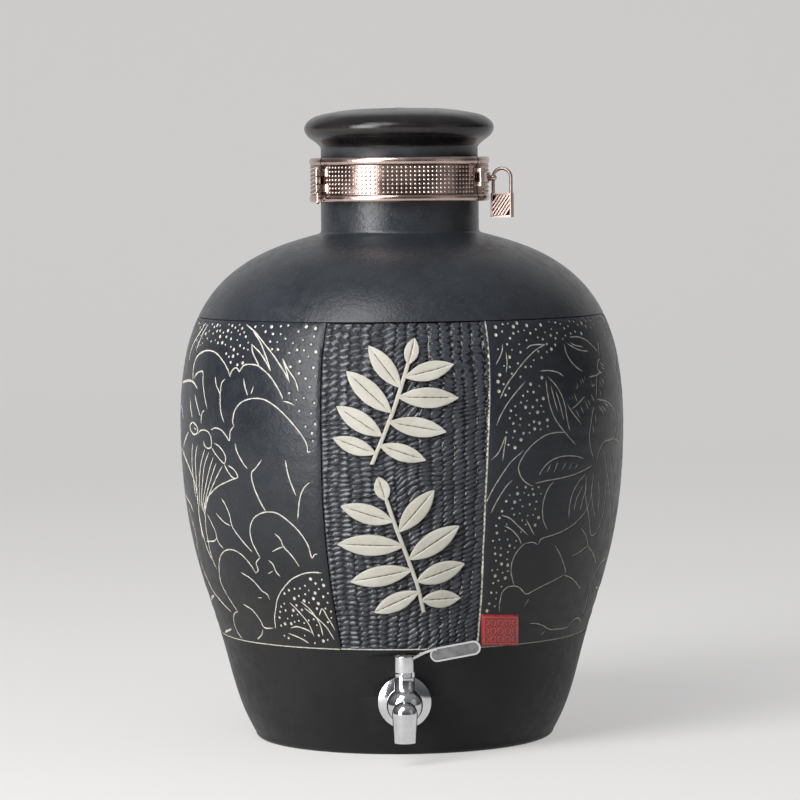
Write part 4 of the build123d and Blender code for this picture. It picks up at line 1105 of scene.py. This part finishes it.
def stem(shape, line):
    """A thin bar along the sprig's stem."""
    grid = bmesh.ops.create_grid(shape, x_segments=40, y_segments=4, size=0.5)["verts"]
    places, heights = zip(*line)
    for vert in grid:
        y = heights[0] + (heights[-1] - heights[0]) * (vert.co.x + 0.5)
        x = float(np.interp(y, heights, places))
        beside = vert.co.y * 2.0
        vert.co = (x + STEM_WIDTH * beside, y, STEM_TOP - 0.3 * beside * beside)


def stand_up(shape, root):
    """Gives a flat shape upright sides down to a root."""
    rims = [edge for edge in shape.edges if edge.is_boundary]
    for vert in corners(bmesh.ops.extrude_edge_only(shape, edges=rims)["geom"]):
        vert.co.z = root
    bmesh.ops.recalc_face_normals(shape, faces=shape.faces)


def sprig(name, node, centre, line, leaves, finish):
    """A sprig of leaves standing proud of the weave, with crisp upright edges."""
    shape = bmesh.new()
    stem(shape, line)
    for root, tip, width in leaves:
        leaf(shape, root, tip, width)
    bmesh.ops.remove_doubles(shape, verts=shape.verts, dist=0.004)
    stand_up(shape, LEAF_ROOT)
    bmesh.ops.translate(shape, verts=shape.verts, vec=(centre[0] * ARC, centre[1], 0.0))
    made = piece(name, shape, finish, sharp=40.0)
    store(made.data, "rim", smooth_share(-flat_points(made.data)[:, 2], -1.42, -1.02))
    wrap(made.data)
    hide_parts(node)


def tablet_relief(x, y, inset):
    """A raised border round a lattice of rings and pips, between 0 and 1."""
    uneven = inset + 0.16 * np.sin(y * 0.9) + 0.12 * np.sin(x * 0.7 + 1.0)
    border = smooth_share(uneven, 0.9, 1.2) * (1.0 - smooth_share(uneven, 1.8, 2.1))
    u, v = x / LATTICE, y / LATTICE
    ring = np.abs(np.hypot(u - np.round(u), v - np.round(v)) - 0.36)
    pip = np.hypot(u - np.floor(u) - 0.5, v - np.floor(v) - 0.5)
    lattice = np.maximum(1.0 - smooth_share(ring, 0.05, 0.1), 1.0 - smooth_share(pip, 0.09, 0.14))
    return np.maximum(border, lattice * smooth_share(inset, 2.3, 2.6))


def enamelled_tablet(finish):
    """A small red tablet with soft corners and its pattern raised."""
    shape = bmesh.new()
    bmesh.ops.create_grid(shape, x_segments=120, y_segments=92, size=0.5)
    spots = np.array([vert.co for vert in shape.verts])
    half = np.array([TABLET_ROUND, TABLET_SIZE[1]]) / 2.0
    x, y = spots[:, 0] * TABLET_ROUND, spots[:, 1] * TABLET_SIZE[1]
    inset = np.minimum(half[0] - np.abs(x), half[1] - np.abs(y))
    relief = tablet_relief(x, y, inset)
    past = [np.maximum(np.abs(v) - h + TABLET_CORNER, 0.0) for v, h in ((x, half[0]), (y, half[1]))]
    fall = smooth_share(np.maximum(np.hypot(*past), TABLET_CORNER - inset), 0.9, TABLET_CORNER)
    rise = 0.72 - 0.5 * fall + 0.36 * relief
    height = TABLET_AT[1] + y - TABLET_FALL * spots[:, 0]
    radius = np.interp(height, WALL_HEIGHTS, WALL_RADII)
    forward = (TABLET_AT[0] + TABLET_SIZE[0] * spots[:, 0]) / radius
    places = np.column_stack([np.degrees(np.arcsin(forward)) * ARC, height, rise])
    for vert, place in zip(shape.verts, places):
        vert.co = place
    stand_up(shape, TABLET_ROOT)
    made = piece("enamelled_tablet", shape, finish, sharp=50.0)
    count = len(made.data.vertices)
    store(made.data, "raised", np.pad(relief, (0, count - len(relief))))
    wrap(made.data)
    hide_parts("seal_tablet")


# ---- hoop, padlock and lever ----

STUD_FOOT = 0.82
STUD_TOP = 0.52
STUD_RISE = 0.34
STUD_PITCH = 2.45
STUD_ROWS = 7
STUD_DEGREES = 2.8
STUD_RADIUS = 53.27
LOWEST_STUD = 326.6
PADLOCK_AT = (55.85, -11.1)
PADLOCK_TURN = 17.0
PLATE_GROUND = 2.3
PADDLE_START = 16.0
DISH_FLOOR = 0.7


def turn_about_z(degrees, size=3):
    return Matrix.Rotation(math.radians(degrees), size, "Z")


def studs(name, start, end, finish, body):
    """Rows of small domes pressed out of the hoop's field, from one angle to another."""
    shape = bmesh.new()
    bmesh.ops.create_cone(
        shape,
        cap_ends=False,
        segments=8,
        radius1=STUD_FOOT * MM,
        radius2=STUD_TOP * MM,
        depth=STUD_RISE * MM,
    )
    top = [edge for edge in shape.edges if all(vert.co.z > 0.0 for vert in edge.verts)]
    cap = bmesh.ops.edgenet_fill(shape, edges=top)["faces"]
    bmesh.ops.poke(shape, faces=cap, offset=0.2 * MM)
    outwards = Matrix.Rotation(math.radians(90.0), 3, "Y")
    bmesh.ops.rotate(shape, verts=shape.verts, matrix=outwards)
    place = (STUD_RADIUS * MM, 0.0, LOWEST_STUD * MM)
    bmesh.ops.translate(shape, verts=shape.verts, vec=place)
    dome = [*shape.verts, *shape.edges, *shape.faces]
    column = [*dome]
    for row in range(1, STUD_ROWS):
        copy = bmesh.ops.duplicate(shape, geom=dome)["geom"]
        bmesh.ops.translate(shape, verts=corners(copy), vec=(0.0, 0.0, row * STUD_PITCH * MM))
        column += copy
    count = int((end - start) / STUD_DEGREES)
    for number in range(1, count):
        copy = bmesh.ops.duplicate(shape, geom=column)["geom"]
        turn = turn_about_z((end - start) * number / (count - 1))
        bmesh.ops.rotate(shape, verts=corners(copy), matrix=turn)
    bmesh.ops.rotate(shape, verts=shape.verts, matrix=turn_about_z(start))
    piece(name, shape, finish, body, sharp=60.0)


def two_tone_plates(bright, dark):
    """The padlock's ribbed plates, browned between the ribs."""
    made = dressed("padlock_face_plates", bright)
    made.data.materials.append(dark)
    away = Matrix.Translation((-PADLOCK_AT[0] * MM, -PADLOCK_AT[1] * MM, 0.0))
    square = turn_about_z(PADLOCK_TURN, 4) @ away
    for face in made.data.polygons:
        if abs((square @ face.center).y) < PLATE_GROUND * MM:
            face.material_index = 1


def dished_lever(polished, satin):
    """The tap's lever, with a satin floor inside the polished rim of its paddle."""
    made = dressed("tap_lever", polished)
    made.data.materials.append(satin)
    low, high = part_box("lever_screw")
    middle = (low[1] + high[1]) / 2.0
    for face in made.data.polygons:
        flat = abs(face.normal.y) > 0.9 and face.center.x > PADDLE_START * MM
        if flat and abs(abs(face.center.y - middle) - DISH_FLOOR * MM) < 0.15 * MM:
            face.material_index = 1


# ---- putting it together ----

set_camera()
lay_floor()
set_sky()
lamp("key_softbox", (-1.35, -1.45, 0.82), (0.0, 0.0, 0.3), 0.95, 1.54, 44.0)
lamp("top_softbox", (-0.75, -1.25, 1.85), (0.0, 0.0, 0.25), 1.1, 1.1, 18.0)
lamp("fill_softbox", (1.9, -1.0, 0.75), (0.0, 0.0, 0.2), 1.2, 1.3, 1.4)
bpy.context.scene.view_settings.view_transform = "Standard"

slate = slate_clay("slate_clay")
carved = slate_clay("carved_clay", "carved")
woven = slate_clay("woven_clay", "woven")
left_carving = (LEFT_END, WEAVE_LEFT, CLOUDS_AND_FANS, 0.36, LEFT_DOTS)
right_carving = (WEAVE_RIGHT, RIGHT_END, LEAVES_AND_BUDS, 0.3, RIGHT_DOTS)
pot = [
    foot(slate_clay("foot_clay", "dull")),
    shoulder_and_inside(slate),
    woven_panel("weave_panel", woven, 0.5),
    carved_panel("clouds_and_fans_panel", *left_carving, carved),
    carved_panel("leaves_and_buds_panel", *right_carving, carved),
    plain_strip("right_strip", 84.0, 94.0, carved),
    plain_strip("left_strip", -96.0, -86.0, carved),
]
pot.append(behind(pot[2], "weave_panel_behind"))
pot.append(behind(pot[3], "clouds_and_fans_behind"))
pot.append(behind(pot[4], "leaves_and_buds_behind"))
for part in pot:
    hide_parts("pot_body")

slip = relief_cream()
sprig("upper_sprig_slip", "upper_leaf_sprig", UPPER_SPRIG_AT, UPPER_STEM, UPPER_LEAVES, slip)
sprig("lower_sprig_slip", "lower_leaf_sprig", LOWER_SPRIG_AT, LOWER_STEM, LOWER_LEAVES, slip)
enamelled_tablet(seal_red())

dressed("lid", lid_glaze())
hoop = copper("hoop_copper", rgb(0.5, 0.375, 0.33), rgb(0.68, 0.52, 0.46), 0.17, 0.28, True)
rose = copper("rubbed_copper", rgb(0.62, 0.47, 0.42), rgb(0.78, 0.62, 0.55), 0.16, 0.26)
dusky = copper("padlock_copper", rgb(0.36, 0.265, 0.235), rgb(0.52, 0.39, 0.345), 0.32, 0.44)
dressed("front_band", hoop, 25.0)
dressed("rear_band", hoop, 25.0)
studs("front_studs", 216.0, 324.0, rose, "front_band")
studs("rear_studs", -22.0, 202.0, rose, "root")
for node in ("hinge_pin", "clasp_pin", "clasp_link", "clasp_eye", "clasp_catch"):
    dressed(node, rose)
for node in ("padlock_case", "padlock_shackle"):
    dressed(node, dusky)
two_tone_plates(dusky, plain_metal("browned_copper", (0.035, 0.024, 0.022), 0.5))
stainless = steel()
for node in ("tap_body", "tap_escutcheon", "lever_screw"):
    dressed(node, stainless)
turned_steel = plain_metal("turned_steel", (0.6, 0.6, 0.61), 0.3)
dished_lever(stainless, plain_metal("satin_steel", (0.3, 0.3, 0.305), 0.42))
for node in ("tap_metal_washer", "tap_lock_nut", "valve_plug"):
    dressed(node, turned_steel)
dressed("padlock_cylinder", plain_metal("barrel_brass", (0.62, 0.44, 0.2), 0.3))
clear_rubber = moulded("milky_silicone", (0.62, 0.61, 0.57), 0.45, 0.3)
for node in ("lid_gasket", "lid_seal_sleeve", "tap_outer_washer", "tap_inner_washer"):
    dressed(node, clear_rubber)
dark_rubber = moulded("liner_rubber", (0.025, 0.025, 0.026), 0.6)
for node in ("rear_band_liner", "front_band_liner", "valve_o_rings"):
    dressed(node, dark_rubber)
